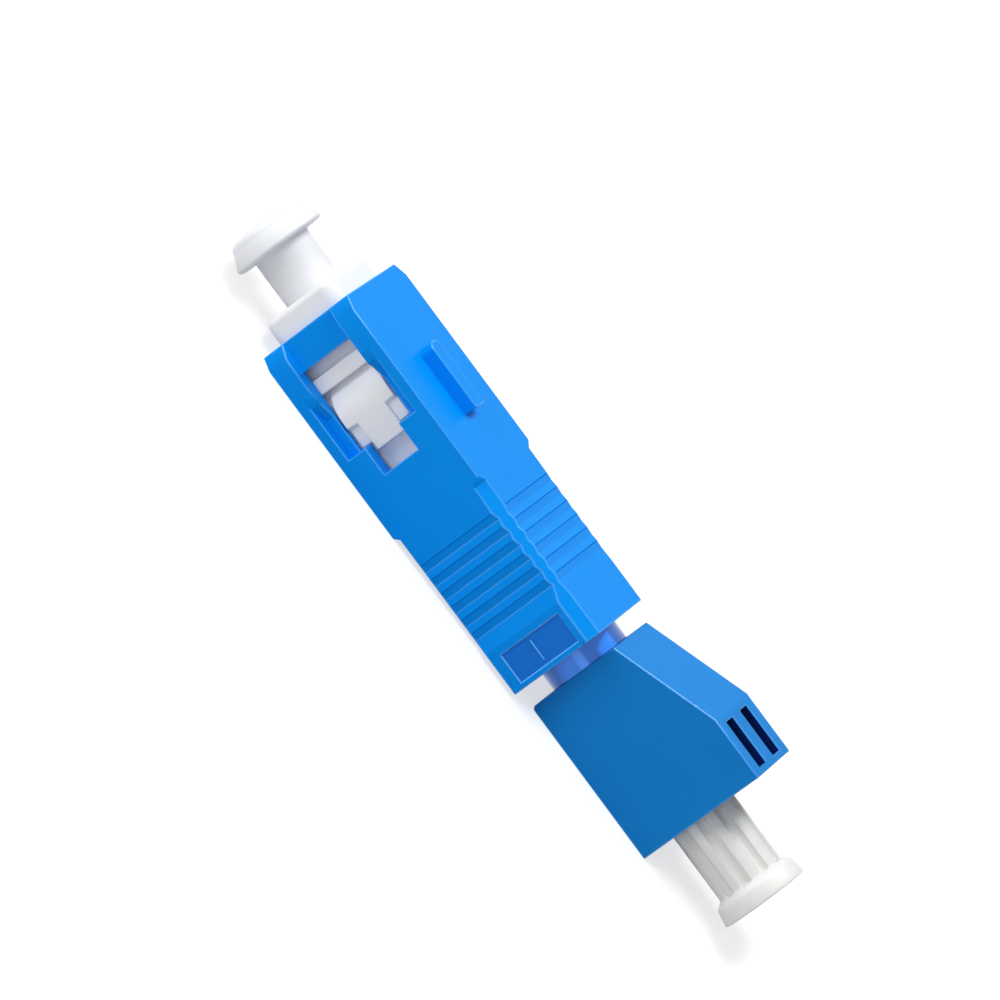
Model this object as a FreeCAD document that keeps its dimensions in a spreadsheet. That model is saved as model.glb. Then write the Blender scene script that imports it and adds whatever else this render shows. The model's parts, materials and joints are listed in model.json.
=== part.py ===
"""Hybrid fibre adapter: a push-pull plug with a 2.5 mm ferrule at one end, a latching socket with a
1.25 mm ferrule at the other, and a dust cover on each.

Millimetres. +X runs along the optical axis from the plug to the socket, +Z points to the key and latch
side. The part lies on its flat underside at Z = 0, with the middle of its length at X = 0. Stations along
the axis are counted from the front face of the outer housing.
"""

import FreeCAD
import Part
import Sketcher

import math
import os
import re

# Driving dimensions. Radial gaps are named clear, room, fit or play.
SIZES = {
    # Plug ferrule, its flange and the fibre
    "ferrule_dia": 2.5,
    "ferrule_length": 10.5,
    "ferrule_reach": 1.55,
    "ferrule_bevel": 0.3,
    "fibre_dia": 0.125,
    "fibre_room": 0.01,
    "entry_dia": 0.7,
    "entry_length": 0.8,
    "press_room": 0.005,
    "flange_wall": 0.35,
    "flange_step": 0.5,
    "collar_length": 1.4,
    "stub_clear": 0.12,
    "stub_travel": 1.0,
    # Socket ferrule, split sleeve and holder
    "pin_dia": 1.25,
    "pin_bevel": 0.15,
    "pin_grip": 1.4,
    "tail_wall": 0.375,
    "tail_bore": 0.6,
    "tail_room": 0.2,
    "tail_end_room": 0.2,
    "sleeve_fit": 0.015,
    "sleeve_wall": 0.165,
    "sleeve_length": 6.6,
    "sleeve_slot": 0.3,
    "sleeve_play": 0.05,
    "holder_wall": 0.45,
    "holder_lip": 0.4,
    "holder_flange": 0.55,
    "holder_room": 0.03,
    "lip_room": 0.08,
    # Plug frame
    "frame_length": 18.55,
    "frame_reach": 1.65,
    "frame_wall": 0.7,
    "frame_side": 1.15,
    "frame_round": 0.4,
    "frame_corner": 0.9,
    "bore_depth": 4.55,
    "web_length": 1.5,
    "web_room": 0.2,
    "groove_length": 1.1,
    "groove_depth": 0.5,
    "band_lead": 0.78,
    "band_length": 1.05,
    "valley_depth": 0.7,
    "bump_run": 1.32,
    "bump_length": 1.35,
    "bump_rise": 0.5,
    "bump_round": 2.2,
    "bump_clear": 0.15,
    "shoulder_run": 0.22,
    "shoulder_rise": 0.24,
    "shoulder_gap": 0.05,
    "tab_length": 2.17,
    "tab_width": 2.46,
    "tab_drop": 0.2,
    "ledge_depth": 0.1,
    "floor_depth": 0.35,
    "floor_spare": 0.3,
    # Outer housing
    "grip_length": 26.4,
    "side_wall": 1.125,
    "key_wall": 0.775,
    "slide_clear": 0.075,
    "end_clear": 0.1,
    "lead_length": 0.95,
    "lead_depth": 0.52,
    "channel_depth": 0.7,
    "channel_slope": 0.2,
    "bridge_length": 2.25,
    "window_length": 6.1,
    "window_width": 4.4,
    "slot_length": 2.05,
    "tab_clear": 0.23,
    "cam_lead": 1.15,
    "cam_ease": 0.8,
    "cam_ease_drop": 0.1,
    "cam_run": 2.15,
    "cam_depth": 0.7,
    "cam_ledge": 0.7,
    "key_start": 5.45,
    "key_length": 5.0,
    "key_width": 1.3,
    "key_height": 0.95,
    "key_round": 0.5,
    "corner_start": 13.95,
    "corner_chamfer": 0.5,
    "lower_chamfer": 0.35,
    "rib_start": 16.4,
    "rib_pitch": 1.06,
    "rib_count": 6,
    "rib_depth": 0.13,
    "rib_sink": 0.17,
    "rib_return": 1.07,
    "top_rib_depth": 0.09,
    "panel_length": 2.25,
    "panel_width": 5.05,
    "panel_margin": 0.35,
    "panel_depth": 0.18,
    # Barrel and spring
    "barrel_shoulder": 0.72,
    "barrel_clear": 0.13,
    "neck_spare": 0.2,
    "neck_drop": 0.2,
    "nose_length": 4.1,
    "barb_setback": 1.7,
    "barb_length": 0.6,
    "barb_height": 0.12,
    "barb_play": 0.05,
    "spigot_length": 1.3,
    "spigot_land": 0.76,
    "spigot_wall": 0.4,
    "spring_wire": 0.32,
    "spring_turns": 5,
    "spring_clear": 0.1,
    "spring_play": 0.02,
    # Socket housing
    "pull_gap": 1.3,
    "socket_length": 11.87,
    "socket_wall": 0.56,
    "socket_back": 1.04,
    "socket_floor": 0.5,
    "slope_run": 7.36,
    "latch_rise": 2.71,
    "latch_roof": 0.9,
    "latch_web": 1.36,
    "latch_window": 1.2,
    "latch_side": 0.05,
    "latch_lead": 0.55,
    "latch_lip": 0.46,
    "latch_mouth": 2.8,
    "heel_round": 0.3,
    # Dust cap on the ferrule
    "cap_fit": 0.03,
    "cap_wall": 0.72,
    "cap_room": 0.15,
    "cap_neck": 3.45,
    "cap_head": 2.04,
    "cap_rim_dia": 6.4,
    "cap_top_dia": 5.5,
    "cap_dome": 0.25,
    "cap_round": 0.5,
    "cap_rim_bevel": 0.2,
    "cap_tip_room": 0.25,
    "cap_end_room": 0.7,
    # Dust plug in the socket
    "plug_room": 0.25,
    "plug_wall": 0.8,
    "plug_clear": 0.05,
    "plug_insert": 5.0,
    "plug_lead": 0.25,
    "plug_neck": 5.04,
    "plug_flange": 1.55,
    "plug_shoulder": 0.4,
    "plug_collar_dia": 5.74,
    "plug_rim_dia": 6.1,
    "plug_end_wall": 1.6,
    "flute_count": 10,
    "flute_width": 0.75,
    "flute_depth": 0.3,
}

# Sections, worked out from the ferrules outwards
CAP_BORE = "(ferrule_dia + 2 * cap_fit)"
CAP_STEM = f"({CAP_BORE} + 2 * cap_wall)"
FRAME_BORE = f"({CAP_STEM} + 2 * cap_room)"
FRAME_WIDTH = f"({FRAME_BORE} + 2 * frame_side)"
FRAME_HEIGHT = f"({FRAME_BORE} + 2 * frame_wall)"
CAVITY_WIDTH = f"({FRAME_WIDTH} + 2 * slide_clear)"
CAVITY_HEIGHT = f"({FRAME_HEIGHT} + 2 * slide_clear)"
GRIP_WIDTH = f"({CAVITY_WIDTH} + 2 * side_wall)"
GRIP_HEIGHT = f"({CAVITY_HEIGHT} + 2 * key_wall)"
BARREL_DIA = f"({FRAME_BORE} + 2 * barrel_shoulder)"
TAIL_DIA = "(pin_dia + 2 * press_room + 2 * tail_wall)"
TAIL_PASSAGE = f"({TAIL_DIA} + 2 * tail_room)"
SLEEVE_BORE = "(pin_dia + 2 * sleeve_fit)"
SLEEVE_DIA = f"({SLEEVE_BORE} + 2 * sleeve_wall)"
HOLDER_BORE = f"({SLEEVE_DIA} + 2 * sleeve_play)"
HOLDER_DIA = f"({HOLDER_BORE} + 2 * holder_wall)"
PIN_PASSAGE = "(pin_dia + 2 * lip_room)"
PLUG_BORE = f"({HOLDER_DIA} + 2 * plug_room)"
PLUG_STEM = f"({PLUG_BORE} + 2 * plug_wall)"
PORT = f"({PLUG_STEM} + 2 * plug_clear)"
SOCKET_WIDTH = f"({PORT} + 2 * socket_wall)"
SPIGOT_BORE = f"({SOCKET_WIDTH} - 2 * spigot_land)"
SPIGOT_DIA = f"({SPIGOT_BORE} - 2 * press_room)"
LATCH_ROOM = "(latch_web + 2 * latch_window + 2 * latch_side)"
BACK_TOP = f"({PORT} / 2 + socket_back)"
LATCH_TOP = f"({BACK_TOP} + latch_rise)"

# Stations along the axis
WINDOW_STEP = "(bridge_length + window_length)"
WINDOW_END = f"({WINDOW_STEP} + slot_length)"
FRAME_FRONT = "(0 - frame_reach)"
FRAME_REAR = "(frame_length - frame_reach)"
FERRULE_TIP = "(0 - frame_reach - ferrule_reach)"
WEB_REAR = "(bore_depth + web_length - frame_reach)"
NOSE_FRONT = f"({FRAME_REAR} - nose_length)"
SOCKET_REAR = "(grip_length + pull_gap)"
SPIGOT_END = f"({SOCKET_REAR} + spigot_length)"
SLEEVE_START = f"({SPIGOT_END} + sleeve_play)"
PIN_TIP = f"({SLEEVE_START} + sleeve_length / 2)"
TAIL_END = f"({SPIGOT_END} - spigot_wall - stub_travel - tail_end_room)"
SOCKET_MOUTH = f"({SOCKET_REAR} + socket_length)"
CAP_TOP = "(0 - frame_reach - cap_neck - cap_head)"
PLUG_END = f"({SOCKET_MOUTH} + plug_neck + plug_flange)"
MIDDLE = f"(({CAP_TOP} + {PLUG_END}) / 2)"

# Lengths that one piece takes from another
CAP_INSERT = "(bore_depth - stub_travel - cap_end_room)"
FERRULE_SEAT = "(ferrule_length - ferrule_reach - bore_depth - web_length)"
PIN_LENGTH = f"({PIN_TIP} - {TAIL_END} + pin_grip)"
HOLDER_LENGTH = "(sleeve_length + 2 * sleeve_play + holder_lip)"
SOCKET_FLOOR = "(spigot_length + holder_flange + socket_floor)"

AROUND = 360.0
X_AXIS = FreeCAD.Vector(1, 0, 0)
UPPER_TURNS = (45.0, 135.0)
LOWER_TURNS = (245.0, 295.0)
WIRE_TURNS = (0.0, 60.0, 120.0, 180.0, 240.0, 300.0)
# How far the middle of a quarter round lies from both of the edges it replaces, as a share of its radius
HALF_WAY = 1 - 0.5 ** 0.5
TOUCH = 1e-6
SAME = 1e-4

doc = FreeCAD.newDocument("FibreAdapter")
sheet = doc.addObject("Spreadsheet::Sheet", "Sizes")
for row, (alias, value) in enumerate(SIZES.items(), start=1):
    sheet.set(f"A{row}", alias.replace("_", " "))
    sheet.set(f"B{row}", str(value))
    sheet.setAlias(f"B{row}", alias)
doc.recompute()


def sized(formula):
    """The formula with each size's name pointed at its cell in the sheet."""
    return re.sub(r"[a-z_]+", lambda word: f"Sizes.{word[0]}" if word[0] in SIZES else word[0], formula)


def bind(target, name, formula):
    """Let the sheet drive one property of an object."""
    target.setExpression(name, sized(formula))


def number(formula):
    """The formula's present value."""
    return float(sheet.evalExpression(sized(formula)))


def pin_point(sketch, element, end, across, up):
    """Hold one point of a sketch at two formulas, measured from the sketch's origin."""
    for kind, formula, axis in (("DistanceX", across, -2), ("DistanceY", up, -1)):
        if formula == "0":
            sketch.addConstraint(Sketcher.Constraint("PointOnObject", element, end, axis))
            continue
        constraint = Sketcher.Constraint(kind, -1, 1, element, end, number(formula))
        index = sketch.addConstraint(constraint)
        bind(sketch, f"Constraints[{index}]", formula)


def outline(sketch, corners):
    """Draw a closed outline through corners given as pairs of formulas.

    A corner with a third formula starts an arc of that radius, which bulges to the right of the way round.
    """
    first = sketch.GeometryCount
    points = [FreeCAD.Vector(number(corner[0]), number(corner[1]), 0) for corner in corners]
    starts = []
    for place, corner in enumerate(corners):
        start = points[place]
        end = points[(place + 1) % len(points)]
        if len(corner) == 2:
            element = sketch.addGeometry(Part.LineSegment(start, end), False)
        else:
            chord = end - start
            radius = number(corner[2])
            height = radius - (radius ** 2 - (chord.Length / 2) ** 2) ** 0.5
            outward = FreeCAD.Vector(chord.y, -chord.x, 0).normalize()
            crown = (start + end) / 2 + outward * height
            element = sketch.addGeometry(Part.Arc(start, crown, end), False)
            index = sketch.addConstraint(Sketcher.Constraint("Radius", element, radius))
            bind(sketch, f"Constraints[{index}]", corner[2])
        starts.append(1 if sketch.getPoint(element, 1).distanceToPoint(start) < TOUCH else 2)
    for place in range(len(corners)):
        follower = (place + 1) % len(corners)
        here_end = 3 - starts[place]
        sketch.addConstraint(
            Sketcher.Constraint("Coincident", first + place, here_end, first + follower, starts[follower]))
        pin_point(sketch, first + place, starts[place], corners[place][0], corners[place][1])


def mirrored(corners):
    """The same outline on the other side of the sketch's horizontal axis."""
    return [(across, f"0 - ({up})") for across, up in corners]


def rectangle(width, height):
    """Corners of a rectangle about the sketch's origin."""
    return [(f"-{width} / 2", f"-{height} / 2"), (f"{width} / 2", f"-{height} / 2"),
            (f"{width} / 2", f"{height} / 2"), (f"-{width} / 2", f"{height} / 2")]


def rounded(width, height, radius):
    """Corners of a rectangle about the sketch's origin whose four corners are quarter rounds."""
    corners = []
    for across, up in ((1, -1), (1, 1), (-1, 1), (-1, -1)):
        flat_first = across * up < 0
        on_flat = (f"{across} * ({width} / 2 - {radius})", f"{up} * {height} / 2")
        on_side = (f"{across} * {width} / 2", f"{up} * ({height} / 2 - {radius})")
        start, end = (on_flat, on_side) if flat_first else (on_side, on_flat)
        corners += [(*start, radius), end]
    return corners


def box(low_across, low_up, high_across, high_up):
    """Corners of a rectangle between two opposite corners."""
    return [(low_across, low_up), (high_across, low_up), (high_across, high_up), (low_across, high_up)]


class Piece:
    """One sub-part: a body on the optical axis, drawn about its own datum at a station along it."""

    def __init__(self, label, station):
        self.body = doc.addObject("PartDesign::Body", label)
        self.body.Label = label
        self.planes = {item.Role: item for item in self.body.Origin.OriginFeatures}
        bind(self.body, "Placement.Base.x", f"{station} - {MIDDLE}")
        bind(self.body, "Placement.Base.z", f"{GRIP_HEIGHT} / 2")

    def sketch(self, plane, *outlines, offset="0", turn=0.0):
        """Outlines on one of the body's own planes, shifted along its normal and turned about X."""
        sketch = self.body.newObject("Sketcher::SketchObject", "Outline")
        sketch.AttachmentSupport = [(self.planes[plane], "")]
        sketch.MapMode = "FlatFace"
        sketch.AttachmentOffset = FreeCAD.Placement(FreeCAD.Vector(), FreeCAD.Rotation(X_AXIS, turn))
        if offset != "0":
            bind(sketch, "AttachmentOffset.Base.z", offset)
        for corners in outlines:
            outline(sketch, corners)
        return sketch

    def circles(self, plane, *diameters, offset="0", centre=("0", "0")):
        """Circles on one of the body's own planes, all about one centre."""
        sketch = self.sketch(plane, offset=offset)
        middle = FreeCAD.Vector(number(centre[0]), number(centre[1]), 0)
        for diameter in diameters:
            circle = Part.Circle(middle, FreeCAD.Vector(0, 0, 1), number(diameter) / 2)
            element = sketch.addGeometry(circle, False)
            pin_point(sketch, element, 3, *centre)
            index = sketch.addConstraint(Sketcher.Constraint("Diameter", element, number(diameter)))
            bind(sketch, f"Constraints[{index}]", diameter)
        return sketch

    def pad(self, sketch, length, both_ways=False):
        """Raise a sketch along its normal, or half the length each way."""
        feature = self.body.newObject("PartDesign::Pad", "Pad")
        feature.Profile = sketch
        feature.SideType = "Symmetric" if both_ways else "One side"
        bind(feature, "Length", length)
        doc.recompute()
        return feature

    def cut(self, sketch, length=None, both_ways=False, along_normal=False):
        """Cut a sketch away: against its normal, along it or both ways, to a length or right through."""
        before = self.body.Shape.Volume
        feature = self.body.newObject("PartDesign::Pocket", "Pocket")
        feature.Profile = sketch
        feature.SideType = "Symmetric" if both_ways else "One side"
        feature.Reversed = along_normal
        if length is None:
            feature.Type = "ThroughAll"
        else:
            bind(feature, "Length", length)
        doc.recompute()
        if not self.body.Shape.Volume < before - TOUCH:
            raise RuntimeError(f"{self.body.Label}: a cut took nothing away")
        return feature

    def turn(self, corners):
        """Turn an outline of stations and radii about the optical axis."""
        feature = self.body.newObject("PartDesign::Revolution", "Turning")
        sketch = self.sketch("XY_Plane", corners)
        feature.Profile = sketch
        feature.ReferenceAxis = (sketch, ["H_Axis"])
        feature.Angle = AROUND
        self.body.Tip = feature
        doc.recompute()
        return feature

    def bore(self, corners):
        """Turn an outline of stations and radii out of the solid."""
        before = self.body.Shape.Volume
        sketch = self.sketch("XY_Plane", corners)
        feature = self.body.newObject("PartDesign::Groove", "Bore")
        feature.Profile = sketch
        feature.ReferenceAxis = (sketch, ["H_Axis"])
        feature.Angle = AROUND
        doc.recompute()
        if not self.body.Shape.Volume < before - TOUCH:
            raise RuntimeError(f"{self.body.Label}: a bore took nothing away")
        return feature

    def round_edges(self, radius, chosen):
        """Fillet the edges of the last feature whose bounding box the test accepts."""
        base = self.body.Tip
        names = [f"Edge{index}" for index, edge in enumerate(base.Shape.Edges, start=1)
                 if chosen(edge.BoundBox)]
        feature = self.body.newObject("PartDesign::Fillet", "Rounding")
        feature.Base = (base, names)
        bind(feature, "Radius", radius)
        doc.recompute()
        return feature


def near(one, other):
    """Whether two lengths are the same."""
    return abs(one - other) < SAME


def outer_housing():
    """Grip sleeve of the plug: slides on the frame and lifts the mating latch arms by its cam ramps."""
    piece = Piece("sc_outer_housing", "0")
    piece.pad(piece.sketch("YZ_Plane", rectangle(GRIP_WIDTH, GRIP_HEIGHT)), "grip_length")
    shoulder = f"({FRAME_REAR} + end_clear)"
    piece.cut(piece.sketch("YZ_Plane", rectangle(CAVITY_WIDTH, CAVITY_HEIGHT)), shoulder, along_normal=True)
    passage = f"({BARREL_DIA} + 2 * barrel_clear)"
    piece.cut(piece.circles("YZ_Plane", passage, offset=shoulder), along_normal=True)

    face = f"{GRIP_WIDTH} / 2"
    lead = [("0", f"{face} - lead_depth"), ("lead_length", face), ("0", face)]
    piece.cut(piece.sketch("XY_Plane", lead, mirrored(lead)), both_ways=True)
    channel = [(f"{face} - channel_depth", "-window_width / 2 + channel_slope"), (face, "-window_width / 2"),
               (face, "window_width / 2"), (f"{face} - channel_depth", "window_width / 2 - channel_slope")]
    other_channel = [(f"0 - ({across})", up) for across, up in channel]
    piece.cut(piece.sketch("YZ_Plane", channel, other_channel), "bridge_length", along_normal=True)

    slot_half = "(tab_width / 2 + tab_clear)"
    window_half = "(window_width / 2)"
    lower = [("bridge_length", window_half), (WINDOW_STEP, window_half), (WINDOW_STEP, slot_half),
             (WINDOW_END, slot_half)]
    window = mirrored(lower) + lower[::-1]
    piece.cut(piece.sketch("XZ_Plane", window), both_ways=True)
    cam = [("bridge_length + cam_lead", face),
           ("bridge_length + cam_lead + cam_ease", f"{face} - cam_ease_drop"),
           ("bridge_length + cam_lead + cam_run", f"{face} - cam_depth"),
           (WINDOW_STEP, f"{face} - cam_depth"), (WINDOW_STEP, face)]
    piece.cut(piece.sketch("XY_Plane", cam, mirrored(cam)), "window_width + 2 * cam_ledge", both_ways=True)

    key_top = f"{GRIP_HEIGHT} / 2"
    key = box("key_start", "-key_width / 2", "key_start + key_length", "key_width / 2")
    piece.pad(piece.sketch("XY_Plane", key, offset=key_top), "key_height")
    piece.round_edges("key_round", lambda span: near(span.XMin, number("key_start")) and near(span.XLength, 0)
                      and near(span.ZLength, number("key_height")) and near(span.YLength, 0))

    for turn in UPPER_TURNS:
        piece.cut(piece.sketch("XY_Plane", corner_cut(turn, "corner_chamfer"), turn=turn), both_ways=True)
    for turn in LOWER_TURNS:
        piece.cut(piece.sketch("XY_Plane", corner_cut(turn, "lower_chamfer"), turn=turn), both_ways=True)

    side_ribs = rib_cut(face, "rib_depth", "rib_sink")
    piece.cut(piece.sketch("XY_Plane", side_ribs, mirrored(side_ribs)), both_ways=True)
    top_ribs = rib_cut(key_top, "top_rib_depth", "0")
    piece.cut(piece.sketch("XZ_Plane", top_ribs, mirrored(top_ribs)), both_ways=True)

    panel = box("grip_length - panel_margin - panel_length", f"{face} - panel_depth",
                "grip_length - panel_margin", face)
    piece.cut(piece.sketch("XY_Plane", panel, mirrored(panel)), "panel_width", both_ways=True)
    return piece.body


def corner_cut(turn, depth):
    """Chamfer along a corner of the grip that faces the way turned to, with a sloped start."""
    across = abs(math.cos(math.radians(turn)))
    up = abs(math.sin(math.radians(turn)))
    corner = f"({GRIP_WIDTH} / 2 * {across} + {GRIP_HEIGHT} / 2 * {up})"
    return [("corner_start", corner), (f"corner_start + {depth}", f"{corner} - {depth}"),
            ("grip_length", f"{corner} - {depth}"), ("grip_length", f"{corner} + {depth}"),
            ("corner_start", f"{corner} + {depth}")]


def rib_cut(face, depth, sink):
    """Sawtooth cut into a face: each tooth falls to the rear, and the row sinks as it goes."""
    count = int(number("rib_count"))
    corners = []
    for tooth in range(count):
        crest = f"{sink} * {tooth} / {count - 1}"
        corners.append((f"rib_start + rib_pitch * {tooth}", f"{face} - {crest}"))
        corners.append((f"rib_start + rib_pitch * {tooth} + rib_pitch / 2", f"{face} - {crest} - {depth}"))
    corners.append((f"rib_start + rib_pitch * {count} - rib_pitch / 2 + rib_return", face))
    return corners


def plug_frame():
    """White inner frame: guides the ferrule and carries the bump that the mating latch arms grip."""
    piece = Piece("sc_plug_frame", FRAME_FRONT)
    side = f"{FRAME_WIDTH} / 2"
    groove_start = "(frame_reach + bridge_length + band_lead - groove_length)"
    band_start = f"({groove_start} + groove_length)"
    band_end = f"({band_start} + band_length)"
    bump_start = f"({band_end} + bump_run)"
    bump_end = f"({bump_start} + bump_length)"
    tab_end = f"({bump_end} + tab_length)"
    floor_end = f"(frame_reach + {WINDOW_END} + floor_spare)"
    piece.pad(piece.sketch("YZ_Plane", rounded(FRAME_WIDTH, FRAME_HEIGHT, "frame_corner")), groove_start)
    piece.round_edges("frame_round", lambda span: near(span.XMax, 0))
    upper = [(groove_start, f"{side} - groove_depth"), (band_start, f"{side} - groove_depth"),
             (band_start, side), (band_end, side), (band_end, f"{side} - valley_depth"),
             (bump_start, f"{side} - ledge_depth"), (tab_end, f"{side} - ledge_depth"),
             (tab_end, f"{side} - floor_depth"), (floor_end, f"{side} - floor_depth"), (floor_end, side),
             ("frame_length", side)]
    piece.pad(piece.sketch("XY_Plane", upper + mirrored(upper)[::-1]), FRAME_HEIGHT, both_ways=True)
    shoulder_end = f"(frame_reach + {WINDOW_STEP} - shoulder_gap)"
    bump = [(band_end, f"{side} - valley_depth"), (shoulder_end, f"{side} - valley_depth"),
            (shoulder_end, f"{side} + shoulder_rise"),
            (f"{bump_end} + shoulder_run", f"{side} + shoulder_rise"),
            (bump_end, f"{side} + bump_rise"), (bump_start, f"{side} + bump_rise")]
    piece.pad(piece.sketch("XY_Plane", bump, mirrored(bump)), "window_width - 2 * bump_clear", both_ways=True)
    crest = number(bump_start)
    piece.round_edges("bump_round", lambda span: near(span.XLength, 0) and near(span.XMin, crest)
                      and near(span.YLength, 0) and near(abs(span.YMin), number(f"{side} + bump_rise")))
    tab = [(bump_end, f"{side} - valley_depth"), (tab_end, f"{side} - valley_depth"),
           (tab_end, f"{side} + bump_rise - tab_drop"), (bump_end, f"{side} + bump_rise")]
    piece.pad(piece.sketch("XY_Plane", tab, mirrored(tab)), "tab_width", both_ways=True)

    radius = f"{FRAME_BORE} / 2"
    hole = "ferrule_dia / 2 + web_room"
    barb_low = "frame_length - barb_setback - barb_length - barb_play"
    barb_high = "frame_length - barb_setback + barb_play"
    barb_radius = f"{radius} + barb_height + barb_play"
    piece.bore([("0", "0"), ("0", radius), ("bore_depth", radius), ("bore_depth", hole),
                ("bore_depth + web_length", hole), ("bore_depth + web_length", radius), (barb_low, radius),
                (barb_low, barb_radius), (barb_high, barb_radius), (barb_high, radius),
                ("frame_length", radius), ("frame_length", "0")])
    return piece.body


def ferrule(label, tip, diameter, length, bevel, back="1"):
    """Ceramic ferrule: a bevelled tip, a fine bore for the fibre and an entry cone at the back.

    It is drawn from its tip, and back is the way from there to its rear end along the axis, 1 or -1.
    """
    piece = Piece(label, tip)
    fibre_hole = "fibre_dia / 2 + fibre_room"
    radius = f"{diameter} / 2"
    rear = f"{back} * {length}"
    piece.turn([("0", fibre_hole), ("0", f"{radius} - {bevel}"), (f"{back} * {bevel}", radius),
                (rear, radius), (rear, "entry_dia / 2"), (f"{rear} - {back} * entry_length", fibre_hole)])
    return piece.body


def ferrule_flange():
    """Turned holder that joins the two ferrules: collar, seat, and a tail tube through the barrel."""
    piece = Piece("ferrule_flange", WEB_REAR)
    seat = "ferrule_dia / 2 + press_room"
    hub = f"{seat} + flange_wall"
    hub_end = f"{FERRULE_SEAT} + flange_step"
    collar = f"{FRAME_BORE} / 2 - stub_clear"
    tail_length = f"({TAIL_END} - {WEB_REAR})"
    pin_seat = "pin_dia / 2 + press_room"
    piece.turn([("0", seat), ("0", collar), ("collar_length", collar), ("collar_length", hub), (hub_end, hub),
                (hub_end, f"{TAIL_DIA} / 2"), (tail_length, f"{TAIL_DIA} / 2"), (tail_length, pin_seat),
                (f"{tail_length} - pin_grip", pin_seat), (f"{tail_length} - pin_grip", "tail_bore / 2"),
                (FERRULE_SEAT, "tail_bore / 2"), (FERRULE_SEAT, seat)])
    return piece.body


def optical_fibre():
    """Bare fibre from one ferrule tip to the other."""
    piece = Piece("optical_fibre", FERRULE_TIP)
    piece.pad(piece.circles("YZ_Plane", "fibre_dia"), f"{PIN_TIP} - {FERRULE_TIP}")
    return piece.body


def ferrule_spring():
    """Coil spring between the flange's collar and the nose of the barrel, its wire drawn six-sided."""
    start = f"({WEB_REAR} + collar_length + spring_play)"
    piece = Piece("ferrule_spring", start)
    mean_radius = f"({FRAME_BORE} - 2 * spring_clear - spring_wire) / 2"
    section = []
    for turn in WIRE_TURNS:
        across = math.cos(math.radians(turn))
        up = math.sin(math.radians(turn))
        section.append((f"spring_wire / 2 * (1 + {across})", f"{mean_radius} + spring_wire / 2 * {up}"))
    wire = piece.sketch("XY_Plane", section)
    coil = piece.body.newObject("PartDesign::AdditiveHelix", "Coil")
    coil.Profile = wire
    coil.ReferenceAxis = (wire, ["H_Axis"])
    coil.Mode = "height-turns-angle"
    bind(coil, "Height", f"{NOSE_FRONT} - {start} - spring_play - spring_wire")
    bind(coil, "Turns", "spring_turns")
    doc.recompute()
    return piece.body


def barrel():
    """Turned and plated barrel: a barbed nose in the frame, a bright body, and a spigot in the socket.

    Behind the frame it has a neck lower than the frame, so that the outer housing can be pulled back over it.
    """
    piece = Piece("barrel", FRAME_REAR)
    nose = f"{FRAME_BORE} / 2 - press_room"
    neck = f"{FRAME_HEIGHT} / 2 - neck_drop"
    neck_length = "(end_clear + pull_gap + neck_spare)"
    girth = f"{BARREL_DIA} / 2"
    spigot = f"{SPIGOT_DIA} / 2"
    passage = f"{TAIL_PASSAGE} / 2"
    pin_hole = f"{PIN_PASSAGE} / 2"
    body_length = f"({SOCKET_REAR} - {FRAME_REAR})"
    end = f"({body_length} + spigot_length)"
    piece.turn([("-nose_length", passage), ("-nose_length", nose), ("-barb_setback - barb_length", nose),
                ("-barb_setback", f"{nose} + barb_height"), ("-barb_setback", nose), ("0", nose), ("0", neck),
                (neck_length, neck), (neck_length, girth), (body_length, girth), (body_length, spigot),
                (end, spigot), (end, pin_hole), (f"{end} - spigot_wall", pin_hole),
                (f"{end} - spigot_wall", passage)])
    return piece.body


def socket_housing():
    """Socket moulding: a square port under a latch room that is open through two windows and the mouth."""
    piece = Piece("lc_housing", SOCKET_REAR)
    underside = f"-{GRIP_HEIGHT} / 2"
    profile = [("0", underside), ("socket_length", underside), ("socket_length", LATCH_TOP),
               ("slope_run", LATCH_TOP), ("0", BACK_TOP)]
    piece.pad(piece.sketch("XZ_Plane", profile), SOCKET_WIDTH, both_ways=True)
    low = number(underside)
    piece.round_edges("heel_round", lambda span: near(span.XMax, 0) and near(span.ZMax, low))

    piece.cut(piece.sketch("YZ_Plane", rectangle(PORT, PORT), offset=SOCKET_FLOOR), along_normal=True)
    ceiling = f"({LATCH_TOP} - latch_roof)"
    ceiling_at_floor = f"{BACK_TOP} + latch_rise * {SOCKET_FLOOR} / slope_run - latch_roof"
    lip = "(socket_length - latch_lip)"
    room = [(SOCKET_FLOOR, "0"), (lip, "0"), (lip, ceiling), ("slope_run", ceiling),
            (SOCKET_FLOOR, ceiling_at_floor)]
    piece.cut(piece.sketch("XZ_Plane", room), LATCH_ROOM, both_ways=True)
    mouth = box(f"{lip} - latch_lip", "0", "socket_length", ceiling)
    piece.cut(piece.sketch("XZ_Plane", mouth), "latch_mouth", both_ways=True)
    window = box("slope_run + latch_lead", "latch_web / 2", lip, "latch_web / 2 + latch_window")
    windows = piece.sketch("XY_Plane", window, mirrored(window), offset=LATCH_TOP)
    piece.cut(windows, "2 * latch_roof")

    piece.cut(piece.circles("YZ_Plane", SPIGOT_BORE), "spigot_length + holder_flange", along_normal=True)
    holder_hole = f"({HOLDER_DIA} + 2 * holder_room)"
    piece.cut(piece.circles("YZ_Plane", holder_hole), f"{SOCKET_FLOOR} + socket_floor", along_normal=True)
    return piece.body


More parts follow.
